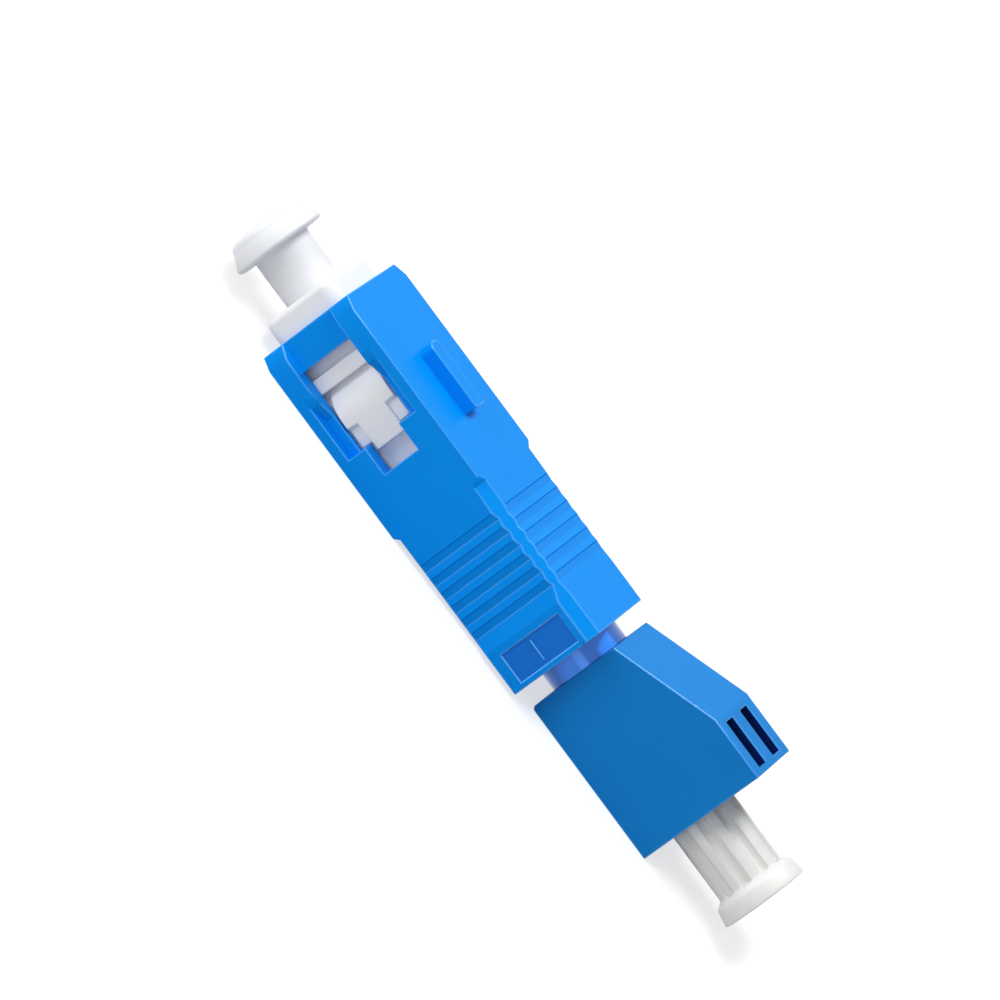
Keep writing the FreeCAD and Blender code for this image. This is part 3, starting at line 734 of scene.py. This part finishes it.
@dataclass
class Workshop:
    """Copies, turns and dresses pieces.

    Attributes:
        materials: The material of every finish used so far.
        merge_mm: Points closer than this become one.
        flat_deg: Faces that turn by less than this merge into one flat.
        round_deg: Outer edges that turn by less than this are shaded smooth.
        hollow_deg: Inner corners that turn by more than this are shaded crisp.
        flat_mm: How far the flats round a sunk panel start before the ring cut round it.
        turn_steps: Faces round a turned piece.
    """

    frame: dict[str, Any]
    materials: dict[Finish, bpy.types.Material] = field(default_factory=dict)
    merge_mm: float = 0.0005
    flat_deg: float = 0.4
    round_deg: float = 46.0
    hollow_deg: float = 12.0
    flat_mm: float = 0.5
    turn_steps: int = 72

    def material(self, finish: Finish) -> bpy.types.Material:
        """Build a finish's material, once.

        Args:
            finish: The finish.

        Returns:
            Its material.
        """
        if finish not in self.materials:
            self.materials[finish] = finish.material()
        return self.materials[finish]

    def solid(
        self, node: str, name: str, body: Body, slot: Slot, edge: EdgeBreak | None = None
    ) -> bpy.types.Object:
        """Copy a solid's mesh, merge it, break its edges and dress it.

        Args:
            node: The solid's name.
            name: The shown piece's name.
            body: The body that carries it.
            slot: Its material slot.
            edge: How its edges are broken, or none.

        Returns:
            The shown piece.
        """
        piece = bpy.data.objects.new(name, self.frame["nodes"][node].data.copy())
        bpy.context.scene.collection.objects.link(piece)
        self.dress(piece, body, slot, node)
        only(piece)
        bpy.ops.object.mode_set(mode="EDIT")
        self.merge(piece, edge.ring if edge else None)
        if edge:
            self.break_edges(piece, edge, skin=1 if slot in EDGES else 0)
        bpy.ops.object.mode_set(mode="OBJECT")
        self.even(piece, edge.ribs if edge else None)
        return piece

    def merge(self, piece: bpy.types.Object, ring: tuple[Vector, Vector] | None) -> None:
        """Merge a copy's loose triangles into clean flats.

        Args:
            piece: The mesh, in edit mode.
            ring: Corners of a rectangle to cut round the sunk panels, or none.
        """
        bpy.ops.mesh.select_all(action="SELECT")
        bpy.ops.mesh.customdata_custom_splitnormals_clear()
        bpy.ops.mesh.remove_doubles(threshold=self.merge_mm * MM)
        if ring:
            self.cut_ring(piece, *ring)
        bpy.ops.mesh.select_all(action="SELECT")
        bpy.ops.mesh.dissolve_limited(angle_limit=math.radians(self.flat_deg), delimit={"SEAM"})
        bpy.ops.mesh.select_all(action="SELECT")
        bpy.ops.mesh.mark_seam(clear=True)

    def break_edges(self, piece: bpy.types.Object, edge: EdgeBreak, skin: int) -> None:
        """Break a merged copy's edges.

        Args:
            piece: The mesh, in edit mode.
            edge: How its edges are broken.
            skin: Index of the material on the breaks.
        """
        for stretch in edge.crisp:
            if stretch.cut:
                bpy.ops.mesh.select_all(action="SELECT")
                bpy.ops.mesh.bisect(plane_co=(stretch.end, 0, 0), plane_no=(1, 0, 0))
        if edge.ribs:
            self.round_roots_and_shade_crests(piece, edge.ribs, skin)
        hollow_deg = edge.sharp_deg if edge.soft_hollows else None
        self.pick_edges(piece, edge.sharp_deg, hollow_deg, spared=edge.crisp)
        # The breaks carry the edge finish, with its painted highlight, where the slot has one.
        bpy.ops.mesh.bevel(
            offset=edge.width_mm * MM,
            segments=edge.segments,
            affect="EDGES",
            clamp_overlap=False,
            material=skin,
        )

    def round_roots_and_shade_crests(self, piece: bpy.types.Object, ribs: Ribs, skin: int) -> None:
        """Round the roots of the ribs, in the edge finish with its painted highlight, and paint a
        line of shade along their crests.

        Args:
            piece: The mesh, in edit mode.
            ribs: The stretch of ribs.
            skin: Index of the material on the rounds.
        """
        self.pick_edges(piece, None, ribs.root_deg, ribs.stood_on_by)
        bpy.ops.mesh.bevel(
            offset=ribs.root_mm * MM, segments=FINE_STEPS, affect="EDGES", material=skin
        )
        # Painted shade: the crests get a thin line in a darker blue.
        self.pick_edges(piece, ribs.crest_deg, None, ribs.crested_by)
        crest = len(piece.data.materials)
        piece.data.materials.append(self.material(PAINTED_SHADE_CREST))
        bpy.ops.mesh.bevel(
            offset=ribs.crest_mm * MM, segments=1, affect="EDGES", material=crest
        )

    def patch(
        self,
        piece: bpy.types.Object,
        finish: Finish,
        low: Vector,
        high: Vector,
        way: Vector,
        within_deg: float = 10.0,
    ) -> None:
        """Give the faces in a box that look one way a finish of their own.

        Args:
            piece: The mesh, in object mode.
            finish: The finish of the patch.
            low: The box's lowest corner.
            high: Its highest corner.
            way: The direction, or its opposite, that the faces look.
            within_deg: How far the faces may look away from it.
        """
        material = self.material(finish)
        if piece.data.materials.find(material.name) < 0:
            piece.data.materials.append(material)
        index = piece.data.materials.find(material.name)
        for face in piece.data.polygons:
            inside = all(one < here < two for one, here, two in zip(low, face.center, high))
            if inside and abs(face.normal.dot(way)) > math.cos(math.radians(within_deg)):
                face.material_index = index

    def pick_edges(
        self,
        piece: bpy.types.Object,
        outer_deg: float | None,
        hollow_deg: float | None,
        among: Callable[[bmesh.types.BMEdge], bool] | None = None,
        spared: tuple[Crisp, ...] = (),
    ) -> None:
        """Select edges by how far they turn.

        Args:
            piece: The mesh, in edit mode.
            outer_deg: Outer edges that turn by more than this are selected, or none.
            hollow_deg: Inner corners that turn by more than this are selected, or none.
            among: Tells which edges are looked at, or all.
            spared: The stretches whose own edges are left out.
        """
        bpy.ops.mesh.select_mode(type="EDGE")
        bpy.ops.mesh.select_all(action="DESELECT")
        mesh = bmesh.from_edit_mesh(piece.data)
        for edge in mesh.edges:
            if len(edge.link_faces) != 2 or (among and not among(edge)):
                continue
            if any(stretch.holds(edge) for stretch in spared):
                continue
            turn = math.degrees(edge.calc_face_angle_signed())
            outer = outer_deg is not None and turn > outer_deg
            hollow = hollow_deg is not None and -turn > hollow_deg
            edge.select_set(outer or hollow)
        bmesh.update_edit_mesh(piece.data)

    def cut_ring(self, piece: bpy.types.Object, low: Vector, high: Vector) -> None:
        """Cut a rectangle round the sunk panels, so that their flats merge into clean faces.

        Args:
            piece: The mesh, in edit mode.
            low: The rectangle's lowest corner, on one side.
            high: Its highest corner, on the other side.
        """

        def on_the_flats(face: bmesh.types.BMFace) -> bool:
            """Tell whether a face is one of the flats round the panels."""
            behind = min(vertex.co.x for vertex in face.verts) > low.x - self.flat_mm * MM
            outside = not low.y < face.calc_center_median().y < high.y
            return abs(face.normal.y) > SQUARE and outside and behind

        for corner in (low, high):
            for way in (Vector((1, 0, 0)), Vector((0, 0, 1))):
                self.pick_faces(piece, on_the_flats)
                bpy.ops.mesh.select_mode(type="EDGE")
                bpy.ops.mesh.bisect(plane_co=corner, plane_no=way)
                bpy.ops.mesh.mark_seam()

    def pick_faces(
        self, piece: bpy.types.Object, wanted: Callable[[bmesh.types.BMFace], bool]
    ) -> None:
        """Select some faces, and leave the piece in edit mode.

        Args:
            piece: The mesh, active.
            wanted: Tells which faces are selected.
        """
        bpy.ops.object.mode_set(mode="EDIT")
        bpy.ops.mesh.select_mode(type="FACE")
        bpy.ops.mesh.select_all(action="DESELECT")
        mesh = bmesh.from_edit_mesh(piece.data)
        for face in mesh.faces:
            face.select_set(wanted(face))
        bmesh.update_edit_mesh(piece.data)

    def even(self, piece: bpy.types.Object, ribs: Ribs | None = None) -> None:
        """Shade curves smooth, keep flats flat and inner corners crisp.

        Args:
            piece: The mesh to shade, active.
            ribs: The stretch whose shallow creases stay crisp.
        """
        bpy.ops.object.shade_smooth_by_angle(angle=math.radians(self.round_deg))
        bpy.ops.object.mode_set(mode="EDIT")
        self.pick_edges(piece, None, self.hollow_deg)
        bpy.ops.mesh.mark_sharp()
        if ribs:
            self.pick_edges(piece, ribs.crease_deg, ribs.crease_deg, ribs.crossed_by)
            bpy.ops.mesh.mark_sharp()
        bpy.ops.object.mode_set(mode="OBJECT")
        weighted = piece.modifiers.new("even faces", "WEIGHTED_NORMAL")
        weighted.keep_sharp = True
        bpy.ops.object.modifier_apply(modifier=weighted.name)

    def block(
        self, name: str, centre: Vector, size_mm: tuple[float, float, float]
    ) -> bpy.types.Object:
        """Start a piece from a block.

        Args:
            name: The piece's name.
            centre: The block's middle, in metres.
            size_mm: Its lengths along the three axes.

        Returns:
            The block, active and at the origin.
        """
        bpy.ops.object.select_all(action="DESELECT")
        bpy.ops.mesh.primitive_cube_add(size=MM, location=centre)
        piece = bpy.context.object
        piece.name = name
        piece.scale = size_mm
        bpy.ops.object.transform_apply()
        return piece

    def round_off(self, piece: bpy.types.Object, sharp_deg: float, width_mm: float) -> None:
        """Round a new piece's outer edges and shade it.

        Args:
            piece: The mesh, active and in edit mode.
            sharp_deg: Edges that turn by more than this are rounded.
            width_mm: Width of the round.
        """
        self.pick_edges(piece, sharp_deg, None)
        bpy.ops.mesh.bevel(offset=width_mm * MM, segments=FINE_STEPS, affect="EDGES")
        bpy.ops.object.mode_set(mode="OBJECT")
        self.even(piece)

    def turned(
        self, name: str, outline_mm: list[tuple[float, float]], height_mm: float
    ) -> bpy.types.Object:
        """Turn a closed outline round the optical axis.

        Args:
            name: The piece's name.
            outline_mm: Places along the axis and radii, in order.
            height_mm: Height of the axis over the floor.

        Returns:
            The turned piece, active and at the origin.
        """
        bpy.ops.object.select_all(action="DESELECT")
        bpy.ops.mesh.primitive_plane_add(size=MM)
        piece = bpy.context.object
        piece.name = name
        bpy.ops.object.mode_set(mode="EDIT")
        bpy.ops.mesh.select_mode(type="VERT")
        bpy.ops.mesh.select_all(action="SELECT")
        bpy.ops.mesh.merge(type="CENTER")
        points = [Vector((along, 0, height_mm + radius)) * MM for along, radius in outline_mm]
        bpy.ops.transform.translate(value=points[0])
        for here, there in zip(points, points[1:] + points[:1]):
            bpy.ops.mesh.extrude_vertices_move(TRANSFORM_OT_translate={"value": there - here})
        bpy.ops.mesh.select_all(action="SELECT")
        bpy.ops.mesh.remove_doubles(threshold=self.merge_mm * MM)
        bpy.ops.mesh.spin(
            steps=self.turn_steps, angle=math.tau, center=(0, 0, height_mm * MM), axis=(1, 0, 0)
        )
        bpy.ops.mesh.select_all(action="SELECT")
        bpy.ops.mesh.remove_doubles(threshold=self.merge_mm * MM)
        bpy.ops.mesh.normals_make_consistent(inside=False)
        bpy.ops.object.mode_set(mode="OBJECT")
        return piece

    def dress(
        self, piece: bpy.types.Object, body: Body, slot: Slot, *nodes: str
    ) -> bpy.types.Object:
        """Dress a finished piece and hang it on its body.

        Args:
            piece: The finished mesh, at the origin.
            body: The body that carries it.
            slot: Its material slot.
            nodes: The solids that it stands for.

        Returns:
            The piece.
        """
        piece.data.materials.clear()
        piece.data.materials.append(self.material(FINISHES[slot]))
        # The second material is the edge finish: real gloss, with a painted highlight in its lighter
        # blue.
        if slot in EDGES:
            piece.data.materials.append(self.material(EDGES[slot]))
        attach(piece, body.value)
        if nodes:
            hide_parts(*nodes)
        LOG.info("%s rides on %s in %s", piece.name, body.value, slot.value)
        return piece

    def travel(self, joint: str) -> float:
        """Look up how far a sliding joint goes.

        Args:
            joint: The joint's name.

        Returns:
            Its upper limit in metres.
        """
        return next(item for item in self.frame["joints"] if item["name"] == joint)["range_m"][1]


@dataclass
class PushPullPlug:
    """Outer grip with its textured panels and tool mark, and the white frame that it slides on."""

    shop: Workshop
    node: str = "sc_outer_housing"
    grip_edge_mm: float = 0.08
    grip_sharp_deg: float = 34.0
    frame_edge_mm: float = 0.09
    rib_start_mm: float = 10.1
    rib_end_mm: float = 2.8
    ramp_tip_mm: float = 3.4
    ramp_edge_mm: float = 4.4
    corner_start_mm: float = 13.95
    corner_slope_mm: float = 0.5
    panel_end_mm: float = 0.35
    panel_length_mm: float = 2.25
    panel_width_mm: float = 5.05
    panel_depth_mm: float = 0.18
    ring_mm: float = 0.12
    plate_mm: float = 0.175
    rim_lap_mm: float = 0.02
    rim_mm: float = 0.085
    rim_height_mm: float = 0.085
    rim_sharp_deg: float = 20.0
    rim_round_mm: float = 0.02
    rim_slant_deg: float = 80.0
    tick_length_mm: float = 1.5
    tick_width_mm: float = 0.08
    tick_height_mm: float = 0.06
    tick_root_mm: float = 0.03
    tick_sharp_deg: float = 30.0
    tick_round_mm: float = 0.025
    tick_hook_mm: float = 0.05
    tick_drop_mm: float = 0.2

    def __post_init__(self) -> None:
        """Look up where the grip and its panels are."""
        self.low, self.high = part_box(self.node)
        middle = self.panel_end_mm + self.panel_length_mm / 2
        self.panel_middle = Vector((self.high.x - middle * MM, 0, axis_height()))

    def build(self) -> None:
        """Build the grip, its panels, its mark and the frame."""
        ribs = Ribs(self.high.x - self.rib_start_mm * MM, self.high.x - self.rib_end_mm * MM)
        tip, edge = self.low.x + self.ramp_tip_mm * MM, self.low.x + self.ramp_edge_mm * MM
        corner = self.low.x + self.corner_start_mm * MM
        half = self.panel_length_mm / 2 * MM
        ramps = Crisp(tip, edge, cut=True)
        corners = Crisp(corner, corner + self.corner_slope_mm * MM)
        mouths = Crisp(self.panel_middle.x - half, self.panel_middle.x + half)
        grip_edge = EdgeBreak(
            self.grip_edge_mm,
            sharp_deg=self.grip_sharp_deg,
            crisp=(ramps, corners, mouths),
            ribs=ribs,
            ring=self.ring(),
        )
        frame_edge = EdgeBreak(self.frame_edge_mm)
        self.shop.solid(self.node, "grip_housing", Body.GRIP, Slot.GRIP, grip_edge)
        self.shop.solid("sc_plug_frame", "inner_frame", Body.CORE, Slot.FRAME, frame_edge)
        self.panel("near_panel", -1)
        self.panel("far_panel", 1)
        self.tick()

    def ring(self) -> tuple[Vector, Vector]:
        """Lay out the rectangle that is cut round the sunk panels.

        Returns:
            Its lowest corner, on one side, and its highest, on the other.
        """
        length = self.panel_length_mm / 2 + self.ring_mm
        width = self.panel_width_mm / 2 + self.ring_mm
        reach = Vector((length * MM, self.high.y - self.ring_mm * MM, width * MM))
        return self.panel_middle - reach, self.panel_middle + reach

    def panel(self, name: str, side: int) -> bpy.types.Object:
        """Lay a textured plate with a raised rim in one of the two sunk panels.

        Args:
            name: The plate's name.
            side: Minus one for the side that the camera sees, one for the other.

        Returns:
            The plate.
        """
        floor = self.high.y - self.panel_depth_mm * MM
        centre = self.panel_middle + Vector((0, side * (floor + self.plate_mm / 2 * MM), 0))
        length = self.panel_length_mm + 2 * self.rim_lap_mm
        width = self.panel_width_mm + 2 * self.rim_lap_mm
        piece = self.shop.block(name, centre, (length, self.plate_mm, width))
        self.shop.pick_faces(piece, lambda face: face.normal.y * side > FACING)
        bpy.ops.mesh.inset(thickness=self.rim_mm * MM)
        bpy.ops.transform.translate(value=(0, -side * self.rim_height_mm * MM, 0))
        self.shop.round_off(piece, self.rim_sharp_deg, self.rim_round_mm)
        self.shop.dress(piece, Body.GRIP, Slot.GRIP)
        way = Vector((0, 1, 0))
        reach = Vector((length, 2 * self.plate_mm, width)) / 2 * MM
        inner = reach - Vector((self.rim_mm, 0, self.rim_mm)) * MM
        slant = self.rim_slant_deg
        # Painted highlight: the rim is drawn pale, the middle in the eroded finish.
        self.shop.patch(piece, PAINTED_HIGHLIGHT_LINE, centre - reach, centre + reach, way, slant)
        self.shop.patch(piece, ERODED_PANEL, centre - inner, centre + inner, way)
        return piece

    def tick(self) -> bpy.types.Object:
        """Raise a short hooked tool mark on the near panel.

        Returns:
            The mark.
        """
        sunk = self.panel_depth_mm - self.plate_mm + self.rim_height_mm
        shift = Vector((0, self.low.y + sunk * MM, -self.tick_drop_mm * MM))
        centre = self.panel_middle + shift
        size_mm = (self.tick_length_mm, 2 * self.tick_root_mm, self.tick_width_mm)
        piece = self.shop.block("tool_mark", centre, size_mm)
        reach = self.tick_length_mm / 2 - self.tick_width_mm
        for side in (-1, 1):
            self.hook(piece, centre, side, reach)
        self.shop.pick_faces(piece, lambda face: face.normal.y < -FACING)
        rise = (0, -(self.tick_height_mm - self.tick_root_mm) * MM, 0)
        bpy.ops.mesh.extrude_region_move(TRANSFORM_OT_translate={"value": rise})
        self.shop.round_off(piece, self.tick_sharp_deg, self.tick_round_mm)
        self.shop.dress(piece, Body.GRIP, Slot.GRIP)
        # Painted highlight: the mark is drawn in a pale blue.
        piece.data.materials.clear()
        piece.data.materials.append(self.shop.material(PAINTED_HIGHLIGHT_LINE))
        return piece

    def hook(self, piece: bpy.types.Object, centre: Vector, side: int, reach_mm: float) -> None:
        """Pull a short hook out of one end of the mark.

        Args:
            piece: The mark's bar, active.
            centre: Its middle.
            side: Minus one for the end towards the plug, one for the other end.
            reach_mm: From the middle to where the hook starts.
        """
        bpy.ops.object.mode_set(mode="EDIT")
        bpy.ops.mesh.select_all(action="SELECT")
        cut = centre + Vector((side * reach_mm * MM, 0, 0))
        bpy.ops.mesh.bisect(plane_co=cut, plane_no=(1, 0, 0))

        def at_the_end(face: bmesh.types.BMFace) -> bool:
            """Tell whether a face is the hook's root."""
            past = (face.calc_center_median().x - cut.x) * side > 0
            return past and face.normal.z * side > FACING

        self.shop.pick_faces(piece, at_the_end)
        pull = (0, 0, side * self.tick_hook_mm * MM)
        bpy.ops.mesh.extrude_region_move(TRANSFORM_OT_translate={"value": pull})
        bpy.ops.object.mode_set(mode="OBJECT")


@dataclass
class FerruleStub:
    """Both ferrules, the turned flange between them and the fibre."""

    shop: Workshop
    ceramic_edge_mm: float = 0.03
    metal_edge_mm: float = 0.03

    def build(self) -> None:
        """Build the sprung row of pieces."""
        ceramic = EdgeBreak(self.ceramic_edge_mm)
        metal = EdgeBreak(self.metal_edge_mm)
        self.shop.solid("sc_ferrule", "plug_ferrule", Body.STUB, Slot.ZIRCONIA, ceramic)
        self.shop.solid("lc_ferrule", "socket_ferrule", Body.STUB, Slot.ZIRCONIA, ceramic)
        self.shop.solid("ferrule_flange", "ferrule_tail", Body.STUB, Slot.NICKEL, metal)
        self.shop.solid("optical_fibre", "bare_fibre", Body.STUB, Slot.GLASS)


@dataclass
class SprungBarrel:
    """Plated barrel and the round-wire spring on its nose."""

    shop: Workshop
    edge_mm: float = 0.05
    wire_mm: float = 0.32
    turns: int = 5
    steps: int = 40
    wire_sides: int = 12
    seam_mm: float = 0.001
    smooth_deg: float = 50.0
    joint: str = "ferrule_float"

    def build(self) -> None:
        """Build the barrel and the spring."""
        edge = EdgeBreak(self.edge_mm)
        self.shop.solid("barrel", "plated_barrel", Body.CORE, Slot.NICKEL, edge)
        self.spring()

    def spring(self) -> bpy.types.Object:
        """Screw a wire section round the axis; the wire's two ends stay open.

        Returns:
            The spring.
        """
        node = "ferrule_spring"
        low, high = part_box(node)
        height = axis_height()
        wire = self.wire_mm * MM
        radius = high.z - height - wire / 2
        bpy.ops.object.select_all(action="DESELECT")
        bpy.ops.mesh.primitive_circle_add(
            vertices=self.wire_sides,
            radius=wire / 2,
            fill_type="NGON",
            location=(radius, 0, 0),
            rotation=(math.radians(90), 0, 0),
        )
        piece = bpy.context.object
        piece.name = "coil_spring"
        bpy.ops.object.transform_apply()
        screw = piece.modifiers.new("coil", "SCREW")
        screw.axis = "Z"
        screw.angle = math.tau
        screw.iterations = self.turns
        screw.steps = self.steps
        screw.render_steps = self.steps
        screw.screw_offset = (high.x - low.x - wire) / self.turns
        bpy.ops.object.modifier_apply(modifier=screw.name)
        piece.rotation_euler = (0, math.radians(90), 0)
        piece.location = (low.x + wire / 2, 0, height)
        bpy.ops.object.transform_apply()
        bpy.ops.object.mode_set(mode="EDIT")
        bpy.ops.mesh.select_all(action="SELECT")
        bpy.ops.mesh.remove_doubles(threshold=self.seam_mm * MM)
        bpy.ops.mesh.normals_make_consistent(inside=False)
        bpy.ops.object.mode_set(mode="OBJECT")
        bpy.ops.object.shade_smooth_by_angle(angle=math.radians(self.smooth_deg))
        self.shop.dress(piece, Body.CORE, Slot.STEEL, node)
        keep = 1 - self.shop.travel(self.joint) / (high.x - low.x)
        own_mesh(piece)
        return piece


@dataclass
class LatchSocket:
    """Socket moulding with its sleeve holder and split sleeve."""

    shop: Workshop
    shell_edge_mm: float = 0.08
    holder_edge_mm: float = 0.04
    sleeve_edge_mm: float = 0.03
    roof_mm: float = 1.0
    window_start_mm: float = 4.0
    window_reach_mm: float = 2.0
    window_margin_mm: float = 0.1

    def build(self) -> None:
        """Build the shell and what stands in it."""
        low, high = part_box("lc_housing")
        edge = EdgeBreak(self.shell_edge_mm, crisp=(Crisp(low.x, low.x),))
        holder_edge = EdgeBreak(self.holder_edge_mm)
        sleeve_edge = EdgeBreak(self.sleeve_edge_mm)
        shell = self.shop.solid("lc_housing", "socket_shell", Body.CORE, Slot.SOCKET, edge)
        reach, margin = self.window_reach_mm * MM, self.window_margin_mm * MM
        start = Vector((high.x - self.window_start_mm * MM, -reach, high.z - self.roof_mm * MM))
        end = Vector((high.x - margin, reach, high.z - margin))
        # Painted shade: the walls of the latch windows get a dark navy finish.
        for way in (Vector((0, 1, 0)), Vector((1, 0, 0))):
            self.shop.patch(shell, PAINTED_SHADE_WALL, start, end, way)
        self.shop.solid("lc_sleeve_holder", "sleeve_tube", Body.CORE, Slot.FRAME, holder_edge)
        self.shop.solid("lc_split_sleeve", "split_sleeve", Body.CORE, Slot.ZIRCONIA, sleeve_edge)


@dataclass
class DustCap:
    """Milky cap over the plug's ferrule, with a domed head whose edges are all soft."""

    shop: Workshop
    node: str = "sc_dust_cap"
    stem_radius_mm: float = 2.0
    bore_radius_mm: float = 1.28
    bore_start_mm: float = 3.69
    stem_mm: float = 6.3
    rim_radius_mm: float = 3.2
    rim_round_mm: float = 0.24
    top_radius_mm: float = 2.75
    top_round_mm: float = 0.5
    dome_mm: float = 0.25
    root_round_mm: float = 0.12
    arc_steps: int = 7

    def arc(
        self, centre: tuple[float, float], radius: float, start_deg: float, end_deg: float
    ) -> list[tuple[float, float]]:
        """Lay points along an arc.

        Args:
            centre: Place along the axis and radius from it.
            radius: The arc's own radius.
            start_deg: Where it starts; zero points along the axis.
            end_deg: Where it ends.

        Returns:
            The points.
        """
        points = []
        for step in range(self.arc_steps + 1):
            turn = math.radians(start_deg + (end_deg - start_deg) * step / self.arc_steps)
            along = centre[0] + radius * math.cos(turn)
            points.append((along, centre[1] + radius * math.sin(turn)))
        return points

    def build(self) -> bpy.types.Object:
        """Turn the cap from its outline.

        Returns:
            The cap.
        """
        low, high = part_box(self.node)
        front, back = low.x / MM, high.x / MM
        height = (low.z + high.z) / 2 / MM
        under = back - self.stem_mm
        root = self.root_round_mm
        crown = self.top_radius_mm - self.top_round_mm
        crown_radius = (crown ** 2 + self.dome_mm ** 2) / (2 * self.dome_mm)
        crown_turn = math.degrees(math.asin(crown / crown_radius))
        outline = [(back, self.bore_radius_mm), (back, self.stem_radius_mm)]
        outline += self.arc((under + root, self.stem_radius_mm + root), root, 270, 180)
        rim = self.rim_round_mm
        outline += self.arc((under - rim, self.rim_radius_mm - rim), rim, 0, 90)
        shoulder = front + self.dome_mm + self.top_round_mm
        outline += self.arc((shoulder, crown), self.top_round_mm, 90, 180)
        outline += self.arc((front + crown_radius, 0.0), crown_radius, 180 - crown_turn, 180)[1:]
        bottom = front + self.bore_start_mm
        outline += [(bottom, 0.0), (bottom, self.bore_radius_mm)]
        piece = self.shop.turned("ferrule_cap", outline, height)
        self.shop.even(piece)
        return self.shop.dress(piece, Body.CAP, Slot.CAP, self.node)


@dataclass
class DustPlug:
    """White fluted plug in the socket, its ridges well rounded."""

    shop: Workshop
    edge_mm: float = 0.1

    def build(self) -> None:
        """Build the plug."""
        edge = EdgeBreak(self.edge_mm, soft_hollows=True)
        self.shop.solid("lc_dust_plug", "socket_plug", Body.PLUG, Slot.PLUG, edge)


@dataclass(frozen=True)
class Softbox:
    """A softbox that looks at the part.

    Attributes:
        name: The lamp's name.
        place_mm: Where it hangs.
        size_mm: Its width and height.
        level: The brightness that it alone gives a white face turned to it.
    """

    name: str
    place_mm: tuple[float, float, float]
    size_mm: tuple[float, float]
    level: float


@dataclass
class Studio:
    """Floor, lamps, sky and the camera at the photograph's angle."""

    elevation_deg: float = 26.5
    roll_deg: float = 53.45
    distance_mm: float = 600.0
    view_mm: float = 63.05
    sensor_mm: float = 36.0
    aim_along_mm: float = -3.51
    aim_up_mm: float = 1.56
    axis_height_mm: float = 3.7
    near_mm: float = 10.0
    far_mm: float = 20000.0
    floor_mm: float = 4000.0
    floor_sides: int = 96
    sky_light: float = 0.3
    softboxes: tuple[Softbox, ...] = (
        Softbox("overhead_softbox", (-150, 20, 390), (420, 130), 0.86),
        Softbox("end_softbox", (-440, -255, 50), (240, 200), 0.5),
        Softbox("front_softbox", (-60, -480, 90), (300, 240), 0.08),
    )

    def camera(self) -> bpy.types.Object:
        """Put the camera at the photograph's angle, roll and scale.

        Returns:
            The camera.
        """
        tilt = math.radians(self.elevation_deg)
        roll = math.radians(self.roll_deg)
        back = Vector((0, -math.cos(tilt), math.sin(tilt)))
        level = Vector((1, 0, 0))
        upright = Vector((0, math.sin(tilt), math.cos(tilt)))
        right = level * math.cos(roll) + upright * math.sin(roll)
        up = upright * math.cos(roll) - level * math.sin(roll)
        aim = Vector((self.aim_along_mm, 0, self.axis_height_mm)) + upright * self.aim_up_mm
        data = bpy.data.cameras.new("photo camera")
        data.sensor_width = self.sensor_mm
        data.lens = self.sensor_mm * self.distance_mm / self.view_mm
        data.clip_start = self.near_mm * MM
        data.clip_end = self.far_mm * MM
        camera = bpy.data.objects.new("photo_camera", data)
        turn = Matrix((right, up, back)).transposed().to_4x4()
        camera.matrix_world = Matrix.Translation((aim + back * self.distance_mm) * MM) @ turn
        bpy.context.scene.collection.objects.link(camera)
        bpy.context.scene.camera = camera
        return camera

    def floor(self) -> bpy.types.Object:
        """Lay a sheet of paper under the part.

        Returns:
            The floor.
        """
        bpy.ops.object.select_all(action="DESELECT")
        bpy.ops.mesh.primitive_circle_add(
            vertices=self.floor_sides, radius=self.floor_mm * MM, fill_type="NGON"
        )
        floor = bpy.context.object
        floor.name = "studio_floor"
        floor.data.materials.append(StudioPaper().material())
        return floor

    def sky(self) -> None:
        """Light the part from all round, with white behind it for the eye and in gloss."""
        world = bpy.data.worlds.new("studio sky")
        bpy.context.scene.world = world
        world.use_nodes = True
        tree = world.node_tree
        tree.nodes.clear()
        strength = add_node(
            tree,
            "ShaderNodeMapRange",
            {"To Min": self.sky_light, "To Max": 1.0},
            {"Value": seen_rays(tree)},
        )
        sky = add_node(
            tree,
            "ShaderNodeBackground",
            {"Color": (1, 1, 1, 1)},
            {"Strength": strength.outputs[0]},
        )
        add_node(tree, "ShaderNodeOutputWorld", links={"Surface": sky.outputs[0]})

    def lamp(self, box: Softbox) -> bpy.types.Object:
        """Hang a softbox that looks at the part.

        Args:
            box: Its place, size and level.

        Returns:
            The lamp.
        """
        way = (Vector(box.place_mm) - Vector((0, 0, self.axis_height_mm))) * MM
        data = bpy.data.lights.new(box.name, "AREA")
        data.shape = "RECTANGLE"
        data.size = box.size_mm[0] * MM
        data.size_y = box.size_mm[1] * MM
        data.energy = box.level * math.pi ** 2 * way.length_squared
        lamp = bpy.data.objects.new(box.name, data)
        lamp.location = Vector(box.place_mm) * MM
        lamp.rotation_euler = way.to_track_quat("Z", "Y").to_euler()
        lamp.visible_camera = False
        bpy.context.scene.collection.objects.link(lamp)
        return lamp

    def build(self) -> None:
        """Set up the whole studio."""
        self.camera()
        self.floor()
        self.sky()
        for box in self.softboxes:
            self.lamp(box)
        bpy.context.scene.view_settings.view_transform = "Standard"


def main() -> None:
    """Build the dressed adapter and its studio."""
    logging.basicConfig(level=logging.INFO, format="%(name)s: %(message)s")
    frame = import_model()
    shop = Workshop(frame)
    for assembly in (PushPullPlug, FerruleStub, SprungBarrel, LatchSocket, DustCap, DustPlug):
        assembly(shop).build()
    Studio().build()


if __name__ == "__main__":
    main()
